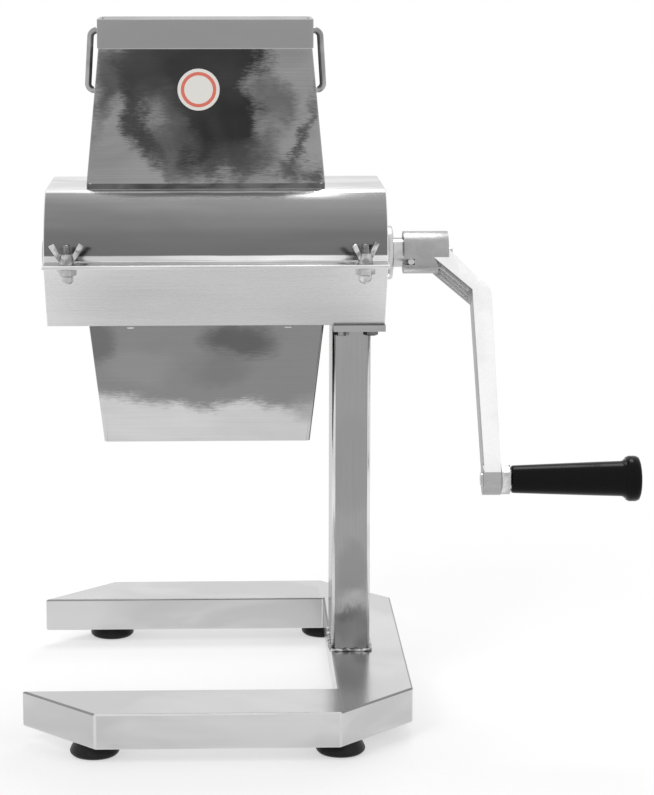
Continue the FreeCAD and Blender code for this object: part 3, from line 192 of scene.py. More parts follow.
def steel_finish_group():
    """Brushed sheet: fine scratches along the grain over soft clouds of a second tone."""
    group = bpy.data.node_groups.new("steel_finish", "ShaderNodeTree")
    for name, kind in (("Tone", "Color"), ("Cloud tone", "Color"), ("Grain scale", "Vector"),
                       ("Grain depth", "Float"), ("Cloud scale", "Vector"), ("Cloud share", "Float"),
                       ("Roughness", "Float")):
        group.interface.new_socket(name, in_out="INPUT", socket_type="NodeSocket" + kind)
    for name, kind in (("Color", "Color"), ("Roughness", "Float"), ("Grain", "Float")):
        group.interface.new_socket(name, in_out="OUTPUT", socket_type="NodeSocket" + kind)
    given = group.nodes.new("NodeGroupInput").outputs
    places = places_on(group)
    grain, drift = (node(group, "VectorMath", places, given[name], operation="MULTIPLY")
                    for name in ("Grain scale", "Cloud scale"))
    scratches = node(group, "TexNoise", grain, Scale=1.0, Detail=3.0, Roughness=0.6)
    clouds = node(group, "TexNoise", drift, Scale=1.0, Detail=2.0, Roughness=0.5, Distortion=0.6)
    spread = node(group, "MapRange", clouds, interpolation_type="SMOOTHSTEP",
                  From_Min=0.36, From_Max=0.64)
    share = node(group, "Math", spread, given["Cloud share"], operation="MULTIPLY")
    base = blend(group, share, given["Tone"], given["Cloud tone"])
    centred = node(group, "Math", scratches, 0.5, operation="SUBTRACT")
    depth = node(group, "Math", centred, given["Grain depth"], operation="MULTIPLY")
    gain = node(group, "Math", depth, 1.0, operation="ADD")
    colour = node(group, "VectorMath", base, operation="SCALE", Scale=gain)
    rough = node(group, "Math", centred, 0.12, given["Roughness"], operation="MULTIPLY_ADD")
    set_up(group, group.nodes.new("NodeGroupOutput"), colour, rough, scratches)
    return group


steel_finish = steel_finish_group()
ALONG_X = (9, 1500, 1500)
ALONG_Y = (1500, 9, 1500)


def metal(name, tone, cloud_tone, grain=ALONG_X, depth=0.25, cloud=(9, 14, 18), share=0.6,
          roughness=0.24, bump=0.08):
    """A metal with the steel finish, in brightnesses of 255; it keeps its finish node's name."""
    made = bpy.data.materials.new(name)
    made.use_nodes = True
    tree = made.node_tree
    tree.nodes.clear()
    finish = node(tree, "Group", node_tree=steel_finish, Tone=grey(tone), Cloud_tone=grey(cloud_tone),
                  Grain_scale=grain, Grain_depth=depth, Cloud_scale=cloud, Cloud_share=share,
                  Roughness=roughness)
    relief = node(tree, "Bump", Strength=bump, Distance=0.3 * MM, Height=finish.outputs["Grain"])
    shader = node(tree, "BsdfPrincipled", finish.outputs["Color"], Metallic=1.0,
                  Roughness=finish.outputs["Roughness"], Normal=relief)
    node(tree, "OutputMaterial", shader)
    made["finish"] = finish.name
    return made


def show(name, mesh, body, materials, stands_for=()):
    """Turns a finished bmesh into a piece that rides on a body."""
    bmesh.ops.recalc_face_normals(mesh, faces=mesh.faces)
    data = bpy.data.meshes.new(name)
    mesh.to_mesh(data)
    mesh.free()
    piece = bpy.data.objects.new(name, data)
    bpy.context.scene.collection.objects.link(piece)
    for material in materials:
        data.materials.append(material)
    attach(piece, body)
    if stands_for:
        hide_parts(*stands_for)
    return piece


def soften(mesh, edges, width, segments=3, clamp=True):
    """Rounds the given edges and gives back the new round faces."""
    made = bmesh.ops.bevel(mesh, geom=edges, offset=width, offset_type="OFFSET", affect="EDGES",
                           segments=segments, profile=0.5, material=-1, clamp_overlap=clamp)
    for face in made["faces"]:
        face.smooth = True
    return made["faces"]


def give_wall(piece, thickness):
    """Makes a folded surface a sheet of the given thickness, inwards."""
    wall = piece.modifiers.new("wall", "SOLIDIFY")
    wall.thickness = thickness
    wall.offset = -1


base_low, base_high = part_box("base_frame")
rail_width = 57 * MM
base_sheet = 1.5 * MM
base_lip = 11 * MM
bend_radius = 1.3 * MM
cross_rail_x = base_high.x - rail_width
leg_inner_y = base_high.y - rail_width


def make_base():
    fold, shadow_line, cross_rail = 1, 2, 3
    level = 0.99
    mesh = bmesh.new()
    front = [(base_low.x, -leg_inner_y), (base_low.x + rail_width, base_low.y),
             (base_high.x - rail_width, base_low.y), (base_high.x, base_low.y + rail_width)]
    rear = [(x, -y) for x, y in reversed(front)]
    inner = [(cross_rail_x, leg_inner_y), (cross_rail_x, -leg_inner_y)]
    corners = [mesh.verts.new((x, y, base_low.z)) for x, y in front + rear + inner]
    floor = mesh.faces.new(corners)
    top = bmesh.ops.extrude_face_region(mesh, geom=[floor], use_keep_orig=True)
    risen = [item for item in top["geom"] if isinstance(item, bmesh.types.BMVert)]
    bmesh.ops.translate(mesh, vec=(0, 0, base_high.z - base_low.z), verts=risen)
    bmesh.ops.recalc_face_normals(mesh, faces=mesh.faces)
    for face in soften(mesh, list(mesh.edges), bend_radius):
        spot = face.calc_center_median()
        shaded = spot.z > base_high.z - bend_radius and spot.y > base_low.y + bend_radius
        face.material_index = shadow_line if shaded else fold
    everything = mesh.verts[:] + mesh.edges[:] + mesh.faces[:]
    seam_x = cross_rail_x - 2 * bend_radius
    bmesh.ops.bisect_plane(mesh, geom=everything, plane_co=(seam_x, 0, 0), plane_no=(1, 0, 0))
    for face in mesh.faces:
        if face.normal.z > level and face.calc_center_median().x > seam_x:
            face.material_index = cross_rail
    below = [face for face in mesh.faces if face.normal.z < -level and len(face.verts) > 4]
    bmesh.ops.inset_region(mesh, faces=below, thickness=base_lip - bend_radius, depth=0)
    bmesh.ops.delete(mesh, geom=below, context="FACES")
    brushed = metal("base_brushed_sheet", 208, 190, depth=0.1, cloud=(9, 11, 26), share=0.8,
                    roughness=0.2, bump=0.04)
    # The folds' lighter tone is a painted highlight, and the top folds' dark tone is a painted shade line.
    painted_bend_highlight = metal("base_fold_painted_highlight", 216, 200, depth=0.1, roughness=0.22)
    fold_line = metal("base_fold_shadow_line", 142, 128, depth=0.1, roughness=0.3)
    cross_brushed = metal("cross_rail_brushed_sheet", 214, 198, grain=ALONG_Y, depth=0.1,
                          cloud=(12, 9, 26), share=0.8, roughness=0.2, bump=0.04)
    base = show("base_channel", mesh, "stand",
                [brushed, painted_bend_highlight, fold_line, cross_brushed], ("base_frame",))
    give_wall(base, base_sheet)


make_base()


# Each foot is a black rubber moulding, widest just above the floor, on a plated screw and bracket.
# The mould left its skin slightly shiny, under a soft and uneven bloom.
def in_metres(points):
    """Pairs of sizes, given in millimetres."""
    return [(across * MM, up * MM) for across, up in points]


def turned(profile, steps, centre, axis, mesh=None):
    """Adds a surface turned from (radius, height along the axis) points about a line."""
    mesh = bmesh.new() if mesh is None else mesh
    axis = Vector(axis)
    side = axis.orthogonal().normalized()
    points = [mesh.verts.new(Vector(centre) + side * radius + axis * height)
              for radius, height in profile]
    edges = [mesh.edges.new(pair) for pair in zip(points, points[1:])]
    bmesh.ops.spin(mesh, geom=points + edges, cent=centre, axis=axis, angle=2 * math.pi,
                   steps=steps, use_merge=True, use_duplicate=False)
    bmesh.ops.remove_doubles(mesh, verts=mesh.verts, dist=0.001 * MM)
    for face in mesh.faces:
        face.smooth = True
    return mesh


def moulded(name):
    """A material that isn't metal, with its tree, its shader and the places on the object."""
    made = bpy.data.materials.new(name)
    made.use_nodes = True
    tree = made.node_tree
    return made, tree, tree.nodes["Principled BSDF"], places_on(tree)


def two_tones(tree, mask, colours, shares=(0, 1)):
    """One colour up to the first share of a mask, the other from the second, and a blend between."""
    ramp = node(tree, "ValToRGB", mask)
    for stop, colour, share in zip(ramp.color_ramp.elements, colours, shares):
        stop.color = colour
        stop.position = share
    return ramp


def rubber():
    """Black rubber with a soft, uneven bloom."""
    made, tree, shader, places = moulded("foot_black_rubber")
    bloom = node(tree, "TexNoise", places, Scale=160.0, Detail=4.0)
    set_up(tree, shader, Base_Color=two_tones(tree, bloom, (grey(8), grey(32)), (0.35, 0.8)),
           Roughness=node(tree, "MapRange", bloom, To_Min=0.3, To_Max=0.5), Specular_IOR_Level=0.25,
           Normal=node(tree, "Bump", Strength=0.15, Distance=0.3 * MM, Height=bloom))
    return made


black_rubber = rubber()
zinc_plate = metal("zinc_plate", 205, 150, grain=(260, 260, 260), depth=0.2, cloud=(120, 120, 120),
                   share=0.5, roughness=0.26)
foot_outline = in_metres([
    (3.3, 6), (7.5, 6), (7.5, 0.4), (8, 0), (14, 0), (16.6, 0.7), (18.1, 2.2), (18.45, 3.3), (18.2, 4.4),
    (17.2, 6.6), (15.6, 9.6), (15.1, 11.6), (14.4, 12.5), (3.3, 12.5), (3.3, 6)])
CORNER_NAMES = ("front_left", "rear_left", "front_right", "rear_right")
UPWARDS = (0, 0, 1)


def make_foot(end):
    low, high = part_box("foot_" + end)
    mesh = turned(foot_outline, 56, ((low.x + high.x) / 2, (low.y + high.y) / 2, 0), UPWARDS)
    show("rubber_foot_" + end, mesh, "stand", [black_rubber], ("foot_" + end,))


def finish_node(node_name, material):
    """Gives a CAD node its finish."""
    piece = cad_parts[node_name]
    piece.data.materials.clear()
    piece.data.materials.append(material)


for end in CORNER_NAMES:
    make_foot(end)
for plated in ("foot_brackets", "foot_screws"):
    finish_node(plated, zinc_plate)


# The column is a rectangular stainless tube, brushed along its length and welded at its foot.
# Its dark tone and the darker and lighter ovals near its foot are painted reflections, and its round
# corners carry a painted highlight.
column_low, column_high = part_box("column")
column_wall = 2 * MM
column_corner = 2.5 * MM
ALONG_Z = (1500, 1500, 9)


def soft_patches(material, ground, patches, streaks=(160, 160, 1500), drift=70 * MM, scuff=26 * MM,
                 blur=8):
    """Lays soft ovals of painted reflection over a finish's tone: x, z, half width, half height, lean,
    brightness, share.

    Sizes are in millimetres. A broad drift and a fine scuff along the streaks fray the ovals' rims.
    """
    tree = material.node_tree
    places = places_on(tree)
    streaky = node(tree, "VectorMath", places, streaks, operation="MULTIPLY")
    fine = node(tree, "TexNoise", streaky, Scale=1.0, Detail=3.0, Roughness=0.7).outputs["Color"]
    broad = node(tree, "TexNoise", places, Scale=24.0, Detail=4.0).outputs["Color"]
    pulled = node(tree, "VectorMath", fine, (scuff, 0, scuff), places, operation="MULTIPLY_ADD")
    bent = node(tree, "VectorMath", broad, (drift, 0, drift), pulled, operation="MULTIPLY_ADD")
    moved = (drift + scuff) / 2
    endless = 1000
    softest = 0.85
    under = grey(ground)
    for x, z, half_width, half_height, lean, tone, share in patches:
        spread = min(softest, blur / min(half_width, half_height))
        oval = node(tree, "Mapping", bent, vector_type="TEXTURE",
                    Location=(x * MM + moved, 0, z * MM + moved), Rotation=(0, math.radians(lean), 0),
                    Scale=(half_width * MM, endless, half_height * MM))
        reach = node(tree, "VectorMath", oval, operation="LENGTH").outputs["Value"]
        mask = node(tree, "MapRange", reach, interpolation_type="SMOOTHSTEP",
                    From_Min=1 + spread, From_Max=1 - spread, To_Max=share)
        under = blend(tree, mask, under, grey(tone))
    feed(tree, tree.nodes[material["finish"]].inputs["Tone"], under)


def make_column():
    mesh = bmesh.new()
    bmesh.ops.create_cube(mesh, size=1)
    bmesh.ops.scale(mesh, vec=column_high - column_low, verts=mesh.verts)
    bmesh.ops.translate(mesh, vec=(column_low + column_high) / 2, verts=mesh.verts)
    upright = [edge for edge in mesh.edges if edge.verts[0].co.xy == edge.verts[1].co.xy]
    for face in soften(mesh, upright, column_corner, segments=5):
        face.material_index = 1
    ends = [face for face in mesh.faces if abs(face.normal.z) > 0.9]
    bmesh.ops.delete(mesh, geom=ends, context="FACES")
    brushed = metal("column_brushed_tube", 158, 150, grain=ALONG_Z, cloud=(16, 16, 9), share=0.6,
                    roughness=0.22)
    # The ovals are painted reflections, darker and lighter, over the tube's dark painted reflection tone.
    soft_patches(brushed, 156, [
        (24, 190, 22, 40, 0, 148, 0.8), (26, 104, 15, 22, 0, 134, 0.7), (26, 77, 18, 7, 0, 188, 0.7),
        (20, 66, 11, 5, -15, 102, 0.85), (31, 60, 9, 6, 10, 110, 0.75), (16, 55, 9, 5, 0, 126, 0.7),
        (32, 48, 7, 5, 0, 102, 0.8), (14, 46, 7, 4, 0, 142, 0.6)],
        streaks=(500, 500, 160), drift=34 * MM, scuff=12 * MM, blur=5)
    # The round corners' pale tone is a painted highlight.
    painted_bend_highlight = metal("column_corner_painted_highlight", 226, 200, grain=ALONG_Z, depth=0.1, roughness=0.2)
    tube = show("column_tube", mesh, "stand", [brushed, painted_bend_highlight], ("column",))
    give_wall(tube, column_wall)


make_column()


# The weld bead runs round the column's foot, laid by hand with a torch and left as it came.
# It is a row of uneven ripples, thicker where the torch lingered, and darker in the hollows.
weld_step = 0.9 * MM
weld_corner = 3 * MM
weld_reach = 0.6 * MM


def weld_path():
    """The points along the bead: four straight sides and four round corners about the column."""
    half_x = (column_high.x - column_low.x) / 2 + weld_reach
    half_y = (column_high.y - column_low.y) / 2 + weld_reach
    corner_steps = 5
    path = []
    for side in range(4):
        along = (half_x if side % 2 else half_y) - weld_corner
        away = half_y if side % 2 else half_x
        quarter = Matrix.Rotation(side * math.pi / 2, 3, "Z")
        for place in range(int(2 * along / weld_step)):
            path.append(quarter @ Vector((away, place * weld_step - along, 0)))
        for place in range(corner_steps):
            angle = place / corner_steps * math.pi / 2
            path.append(quarter @ Vector((away - weld_corner + weld_corner * math.cos(angle),
                                          along + weld_corner * math.sin(angle), 0)))
    return path


def make_weld():
    """Circles across the path, bridged; a short and a long wave set how thick and high each is."""
    low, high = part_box("column_weld")
    mesh = bmesh.new()
    path = weld_path()
    rings = []
    for place, point in enumerate(path):
        ripple = 0.5 + 0.5 * math.sin(place * 1.9) + 0.35 * math.sin(place * 0.61 + 2) ** 3
        radius = (1.25 + 0.5 * ripple) * MM
        ahead = path[(place + 1) % len(path)] - path[place - 1]
        ring = bmesh.ops.create_circle(mesh, cap_ends=False, segments=8, radius=radius)["verts"]
        facing = ahead.to_track_quat("Z", "Y").to_matrix().to_4x4()
        lift = Vector(((low.x + high.x) / 2, 0, low.z + 0.9 * MM + 0.3 * MM * math.sin(place * 0.8)))
        bmesh.ops.transform(mesh, matrix=Matrix.Translation(point + lift) @ facing, verts=ring)
        rings.append([edge for edge in mesh.edges if edge.verts[0] in ring and edge.verts[1] in ring])
    for first, second in zip(rings, rings[1:] + rings[:1]):
        bmesh.ops.bridge_loops(mesh, edges=first + second)
    for face in mesh.faces:
        face.smooth = True
    for vert in mesh.verts:
        vert.co.z = max(vert.co.z, low.z)
    bead = metal("weld_bead", 208, 92, grain=(700, 700, 700), depth=0.6, cloud=(190, 190, 190),
                 share=0.9, roughness=0.3, bump=0.4)
    show("weld_bead", mesh, "stand", [bead], ("column_weld",))


make_weld()


# A plate welded on the column's top carries the housing. Four plated hexagon bolts go up through
# the plate and the case, and four nuts hold them inside.
plate_steel = metal("mounting_plate", 168, 150, roughness=0.3)
finish_node("column_top_plate", plate_steel)


def hexagon_bar(mesh, centre, across, height, chamfer, axis="Z", turn=30):
    """Adds a hexagonal bar with its ends' corners turned off, from a centre up or along X."""
    before = set(mesh.verts)
    radius = across / 2 / math.cos(math.pi / 6)
    made = bmesh.ops.create_cone(mesh, cap_ends=True, segments=6, radius1=radius, radius2=radius,
                                 depth=height)["verts"]
    bmesh.ops.translate(mesh, vec=(0, 0, height / 2), verts=made)
    rims = [edge for edge in mesh.edges if edge.verts[0] in made and edge.verts[1] in made
            and abs(edge.verts[0].co.z - edge.verts[1].co.z) < height / 2]
    soften(mesh, rims, chamfer, segments=2)
    bar = [vert for vert in mesh.verts if vert not in before]
    spin = Matrix.Rotation(math.radians(turn), 3, "Z")
    bmesh.ops.rotate(mesh, cent=(0, 0, 0), matrix=spin, verts=bar)
    if axis == "X":
        bmesh.ops.rotate(mesh, cent=(0, 0, 0), matrix=Matrix.Rotation(math.pi / 2, 3, "Y"), verts=bar)
    bmesh.ops.translate(mesh, vec=centre, verts=bar)


def rod(mesh, centre, radius, height):
    """Adds a plain round bar that stands on a centre."""
    made = bmesh.ops.create_cone(mesh, cap_ends=True, segments=24, radius1=radius,
                                 radius2=radius, depth=height)["verts"]
    bmesh.ops.translate(mesh, vec=Vector(centre) + Vector((0, 0, height / 2)), verts=made)
    for face in mesh.faces:
        if len(face.verts) == 4 and set(face.verts) <= set(made):
            face.smooth = True


bolt_low, bolt_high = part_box("stand_bolts")
bolt_across = 10 * MM
bolt_head = 4 * MM
bolt_radius = 3 * MM
shank_start = bolt_low.z + 3.5 * MM


def make_stand_bolts():
    mesh = bmesh.new()
    half_flats = bolt_across / 2
    half_corners = half_flats / math.cos(math.pi / 6)
    for x in (bolt_low.x + half_corners, bolt_high.x - half_corners):
        for y in (bolt_low.y + half_flats, bolt_high.y - half_flats):
            hexagon_bar(mesh, Vector((x, y, bolt_low.z)), bolt_across, bolt_head, 0.5 * MM)
            rod(mesh, (x, y, shank_start), bolt_radius, bolt_high.z - shank_start)
    bolt_gray = metal("bolt_head_steel", 150, 60, grain=(260, 260, 260), depth=0.3, cloud=(190, 190, 60),
                      share=0.9, roughness=0.22)
    show("housing_bolts", mesh, "stand", [bolt_gray], ("stand_bolts",))


make_stand_bolts()
finish_node("stand_nuts", zinc_plate)


# The lower case is a folded trough of satin sheet with two flanges; its folds and cut edges carry a
# painted highlight and its flanges a painted reflection grey. It stands on the column's plate, and its
# pale tone is a painted reflection of the floor on its sloping front.
def sharp_edges(mesh, least):
    """The edges at which two faces meet at more than the given angle, in degrees."""
    return [edge for edge in mesh.edges
            if len(edge.link_faces) == 2 and edge.calc_face_angle(0) > math.radians(least)]


def copy_of(node_name):
    """A joined-up copy of a CAD node with its flat faces whole again."""
    mesh = bmesh.new()
    mesh.from_mesh(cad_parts[node_name].data)
    bmesh.ops.remove_doubles(mesh, verts=mesh.verts, dist=0.01 * MM)
    bmesh.ops.dissolve_limit(mesh, angle_limit=math.radians(0.5), verts=mesh.verts, edges=mesh.edges)
    return mesh


def dress_sheet(node_name, piece_name, body, materials, width, least=25, flange=None):
    """A copy of a sheet node with rounded folds and cut edges; materials are sheet, painted fold highlight,
    painted flange reflection.
    """
    fold, flange_side = 1, 2
    mesh = copy_of(node_name)
    if flange:
        for face in mesh.faces:
            if flange[0] < face.calc_center_median().z < flange[1]:
                face.material_index = flange_side
    for face in soften(mesh, sharp_edges(mesh, least), width, segments=2, clamp=False):
        face.material_index = fold
    show(piece_name, mesh, body, materials, (node_name,))


case_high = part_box("lower_case")[1]
flange_sheet = 1.5 * MM
# Painted reflection: the sheet's pale tone and the flange's grey; the folds' pale tone is a painted
# highlight.
case_sheet = metal("case_satin_sheet", 226, 216, depth=0.04, cloud=(5, 9, 40),
                   share=0.6, roughness=0.28, bump=0.006)
fold_highlight_paint = metal("housing_fold_painted_highlight", 238, 208, depth=0.08, roughness=0.2)
case_flange_reflection_paint = metal("case_flange_painted_reflection", 196, 176, depth=0.1, roughness=0.24)
dress_sheet("lower_case", "case_trough", "stand", [case_sheet, fold_highlight_paint, case_flange_reflection_paint],
            0.4 * MM, flange=(case_high.z - flange_sheet, case_high.z + 1 * MM))


# The upper cover is polished sheet, bowed over the rollers, with the same flanges and end walls.
# Its bow's tone is painted in long bands along the sheet: painted reflections of the dim room, with
# painted highlight lines above the flange and along the top fold; the flange has a painted reflection grey.
def height_bands(material, stops):
    """Lets the finish's tone change with height, as (height, brightness of 255) stops."""
    tree = material.node_tree
    places = places_on(tree)
    up = node(tree, "SeparateXYZ", places).outputs["Z"]
    wander = node(tree, "TexNoise", places, Scale=22.0, Detail=2.0)
    reach = 1.2 * MM
    shift = node(tree, "Math", wander, reach, up, operation="MULTIPLY_ADD")
    low, high = stops[0][0], stops[-1][0]
    spread = node(tree, "MapRange", shift, From_Min=low + reach / 2, From_Max=high + reach / 2)
    ramp = node(tree, "ValToRGB", spread)
    ramp.color_ramp.interpolation = "EASE"
    for index, (height, brightness) in enumerate(stops):
        share = (height - low) / (high - low)
        elements = ramp.color_ramp.elements
        stop = elements[index] if index < 2 else elements.new(share)
        stop.position = share
        stop.color = grey(brightness)
    feed(tree, tree.nodes[material["finish"]].inputs["Tone"], ramp)


cover_low, cover_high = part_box("upper_cover")
cover_polish = metal("cover_polished_sheet", 128, 104, depth=0.16, cloud=(7, 24, 30),
                     share=0.4, roughness=0.2)
# Painted reflection bands by height; the two near-white bands are painted highlight lines.
foot_bands = [(0, 160), (2.2, 160), (2.6, 244), (5.6, 244), (6.6, 112), (20, 116), (31, 130)]
crown_bands = [(-9, 146), (-2.6, 152), (-1.6, 246), (-0.5, 246), (0.2, 208)]
height_bands(cover_polish, [(cover_low.z + up * MM, tone) for up, tone in foot_bands]
             + [(cover_high.z + up * MM, tone) for up, tone in crown_bands])
cover_flange_reflection_paint = metal("cover_flange_painted_reflection", 178, 160, depth=0.1, roughness=0.24)
dress_sheet("upper_cover", "cover_bow", "cover", [cover_polish, fold_highlight_paint, cover_flange_reflection_paint],
            0.7 * MM, least=20, flange=(cover_low.z - 1 * MM, cover_low.z + flange_sheet))


# The outlet chute is tapered sheet, welded under the case, with four small tack marks at its top.
# Its tone is a painted reflection: pale on the lower third, as of the pale table, and darker above, as
# of the dark room, with a few smaller painted patches.
chute_low, chute_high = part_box("outlet_chute")
chute_sheet = metal("chute_polished_sheet", 140, 120, depth=0.2, cloud=(11, 14, 22),
                    share=0.15, roughness=0.22)
# The ovals are painted reflections: a dark upper part over the pale ground, and some smaller patches.
soft_patches(chute_sheet, 208, [
    (-90, 336, 300, 96, 3, 136, 1.0), (-66, 291, 28, 13, 0, 84, 0.85), (-176, 292, 15, 20, 0, 104, 0.8),
    (-78, 268, 22, 12, 0, 116, 0.6), (-140, 270, 26, 16, 0, 152, 0.5), (-6, 238, 18, 12, 0, 152, 0.6)],
    drift=30 * MM, scuff=17 * MM, blur=6)
dress_sheet("outlet_chute", "chute_funnel", "stand", [chute_sheet, fold_highlight_paint], 0.3 * MM)


tack_size = (3.2 * MM, 1.3 * MM, 1.0 * MM)
tack_y = chute_high.y - 0.9 * MM
tack_z = chute_high.z - 1.8 * MM


def tack_weld(x, y):
    """A flattened bead of weld at the joint of the chute and the case, painted pale as a highlight."""
    mesh = bmesh.new()
    made = bmesh.ops.create_uvsphere(mesh, u_segments=20, v_segments=10, radius=1)["verts"]
    bmesh.ops.scale(mesh, vec=tack_size, verts=made)
    bmesh.ops.translate(mesh, vec=(x, y, tack_z), verts=made)
    for face in mesh.faces:
        face.smooth = True
    return mesh


# The beads' pale tone is a painted highlight.
tack_highlight_paint = metal("tack_weld_painted_highlight", 232, 170, grain=(500, 500, 500), depth=0.3, roughness=0.25)
chute_middle = (chute_low.x + chute_high.x) / 2
for side_name, side in (("front", -1), ("rear", 1)):
    for end_name, reach in (("left", -58.5 * MM), ("right", 62.5 * MM)):
        bead = tack_weld(chute_middle + reach, side * tack_y)
        show("chute_tack_%s_%s" % (side_name, end_name), bead, "stand", [tack_highlight_paint])


# The feed hopper is mirror-like sheet with a matt upright collar, a skirt that sits on the cover and
# a lip in its throat. It is folded and welded, with a horizontal grain; its dark tone and the soft
# clouds over it are painted reflections, and its level folds carry a painted highlight.
hopper_low, hopper_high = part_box("feed_hopper")
hopper_middle = (hopper_low + hopper_high) / 2
collar_bottom = hopper_high.z - 22.2 * MM
skirt_top = hopper_low.z + 12.5 * MM


def hopper_reflection_paint():
    """The tapered walls' dark tone under drifting clouds between near black and pale grey: painted
    reflections.
    """
    made = metal("hopper_sheet_painted_reflections", 96, 84, depth=0.34, cloud=(14, 14, 20),
                 share=0.25, roughness=0.16, bump=0.12)
    # The ovals are painted reflections of the dim room.
    soft_patches(made, 148, [
        (-138, 500, 44, 30, 0, 82, 0.85), (-84, 440, 50, 27, 0, 96, 0.85), (-84, 482, 40, 60, 0, 48, 1.0),
        (-106, 504, 50, 28, 0, 58, 0.85), (-116, 462, 12, 22, -30, 108, 0.55),
        (-144, 474, 7, 34, -16, 56, 0.9), (-131, 446, 7, 24, -30, 60, 0.9), (-170, 474, 8, 20, 6, 70, 0.75),
        (-66, 430, 22, 12, 0, 72, 0.8), (-86, 419, 7, 12, 0, 74, 0.8), (-34, 472, 10, 13, -30, 86, 0.75),
        (-12, 448, 4, 34, 12, 62, 0.85), (-24, 424, 11, 7, 0, 72, 0.8), (-4, 420, 6, 10, 0, 56, 0.8)])
    return made


hopper_walls = hopper_reflection_paint()
collar_matt = metal("hopper_collar_matt", 150, 143, depth=0.08, cloud=(10, 10, 30),
                    share=0.4, roughness=0.34)
# The level folds' pale tone is a painted highlight.
hopper_fold_highlight_paint = metal("hopper_fold_painted_highlight", 196, 150, depth=0.1, roughness=0.22)
skirt_dark = metal("hopper_skirt_sheet", 66, 128, depth=0.3, cloud=(30, 30, 60), share=0.5,
                   roughness=0.2)
hopper_inside = metal("hopper_inside_sheet", 206, 184, grain=ALONG_Z, depth=0.2, share=0.6, roughness=0.3)


def shade_round(mesh, least):
    """Shades a mesh smooth, but for the edges that turn by more than the given angle in degrees."""
    for face in mesh.faces:
        face.smooth = True
    for edge in mesh.edges:
        edge.smooth = True
    for edge in sharp_edges(mesh, least):
        edge.smooth = False


def make_hopper():
    wall, collar, fold, skirt, inside = range(5)
    mesh = copy_of("feed_hopper")
    for face in soften(mesh, sharp_edges(mesh, 12), 0.3 * MM, segments=2):
        level = abs(face.normal.z) > 0.2 or abs(face.calc_center_median().z - skirt_top) < 1 * MM
        face.material_index = fold if level else wall
    for face in mesh.faces:
        spot = face.calc_center_median()
        if face.material_index == wall and spot.z > collar_bottom:
            face.material_index = collar
        if face.material_index == wall and spot.z < skirt_top - 0.4 * MM:
            face.material_index = skirt
        if face.material_index != fold and (spot - hopper_middle).dot(face.normal) < 0:
            face.material_index = inside
    shade_round(mesh, 30)
    show("hopper_funnel", mesh, "hopper",
         [hopper_walls, collar_matt, hopper_fold_highlight_paint, skirt_dark, hopper_inside], ("feed_hopper",))


make_hopper()


# A round safety disc is glued on the hopper's sloping front wall. It is thin off-white vinyl, with a
# plain red ring printed a little inside its rim.
disc_radius = 16 * MM
ring_outer = 13.5 * MM
ring_inner = 10.9 * MM
disc_place_x = -94.8 * MM
disc_place_z = 484 * MM
disc_stand_off = 0.25 * MM
wall_foot_y = 50 * MM
wall_run = wall_foot_y - 30.2 * MM
wall_rise = 101 * MM


def disc_print(name, colour):
    """Vinyl in one colour, with a fine and faint speck."""
    made, tree, shader, places = moulded(name)
    speck = node(tree, "TexNoise", places, Scale=900.0, Detail=2.0)
    darker = tuple(0.92 * part for part in colour[:3]) + (1,)
    set_up(tree, shader, blend(tree, speck, colour, darker), Roughness=0.4)
    return made


def make_safety_disc():
    vinyl, red = range(2)
    mesh = bmesh.new()
    bmesh.ops.create_circle(mesh, cap_ends=True, segments=72, radius=disc_radius)
    centre_face = mesh.faces[:][0]
    reach = disc_radius
    for inner, ring_material in ((ring_outer, vinyl), (ring_inner, red)):
        ring = bmesh.ops.inset_region(mesh, faces=[centre_face], thickness=reach - inner,
                                      use_boundary=True)
        for face in ring["faces"]:
            face.material_index = ring_material
        reach = inner
    lean = math.atan2(wall_run, wall_rise)
    wall_y = -(wall_foot_y - (disc_place_z - skirt_top) / wall_rise * wall_run)
    outwards = Vector((0, -math.cos(lean), math.sin(lean)))
    spot = Vector((disc_place_x, wall_y, disc_place_z)) + outwards * disc_stand_off
    facing = Matrix.Rotation(math.pi / 2 - lean, 4, "X")
    bmesh.ops.transform(mesh, matrix=Matrix.Translation(spot) @ facing, verts=mesh.verts)
    show("safety_disc", mesh, "hopper",
         [disc_print("disc_vinyl", (0.98, 0.96, 0.91, 1)),
          disc_print("disc_ring_red", (0.86, 0.21, 0.15, 1))])


make_safety_disc()


# Two bent pulls of buffed stainless rod are welded upright on the hopper's ends, to lift it by.
# Buffing ran along the rod, so its shine breaks into long streaks.
rod_shine = metal("pull_rod_polish", 168, 96, grain=(300, 300, 12), depth=0.2, cloud=(60, 60, 30),
                  share=0.5, roughness=0.16)


def smooth_copy(node_name, piece_name, body, material, width=0):
    """A copy of a CAD node with its sharp edges rounded and its round faces shaded smooth."""
    least = 30
    mesh = copy_of(node_name)
    if width:
        soften(mesh, sharp_edges(mesh, least), width, segments=2)
    shade_round(mesh, least)
    show(piece_name, mesh, body, [material], (node_name,))


for side_name in ("left", "right"):
    smooth_copy("hopper_handle_" + side_name, "hopper_pull_" + side_name, "hopper", rod_shine)


# Four studs with fixed nuts and domed cap nuts stand in the flanges; wing nuts clamp the cover down.
# All are bright plated steel, and the studs show their threads between the wings.
bright_plate = metal("bright_plate", 214, 138, grain=(240, 240, 240), depth=0.15,
                     cloud=(90, 90, 90), share=0.6, roughness=0.16)
stud_low, stud_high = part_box("clamp_studs")
stud_radius = 3 * MM
thread_pitch = 1 * MM
clamp_spots = {}
for end in CORNER_NAMES:
    nut_low, nut_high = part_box("clamp_cap_nut_" + end)
    clamp_spots[end] = ((nut_low.x + nut_high.x) / 2, (nut_low.y + nut_high.y) / 2)


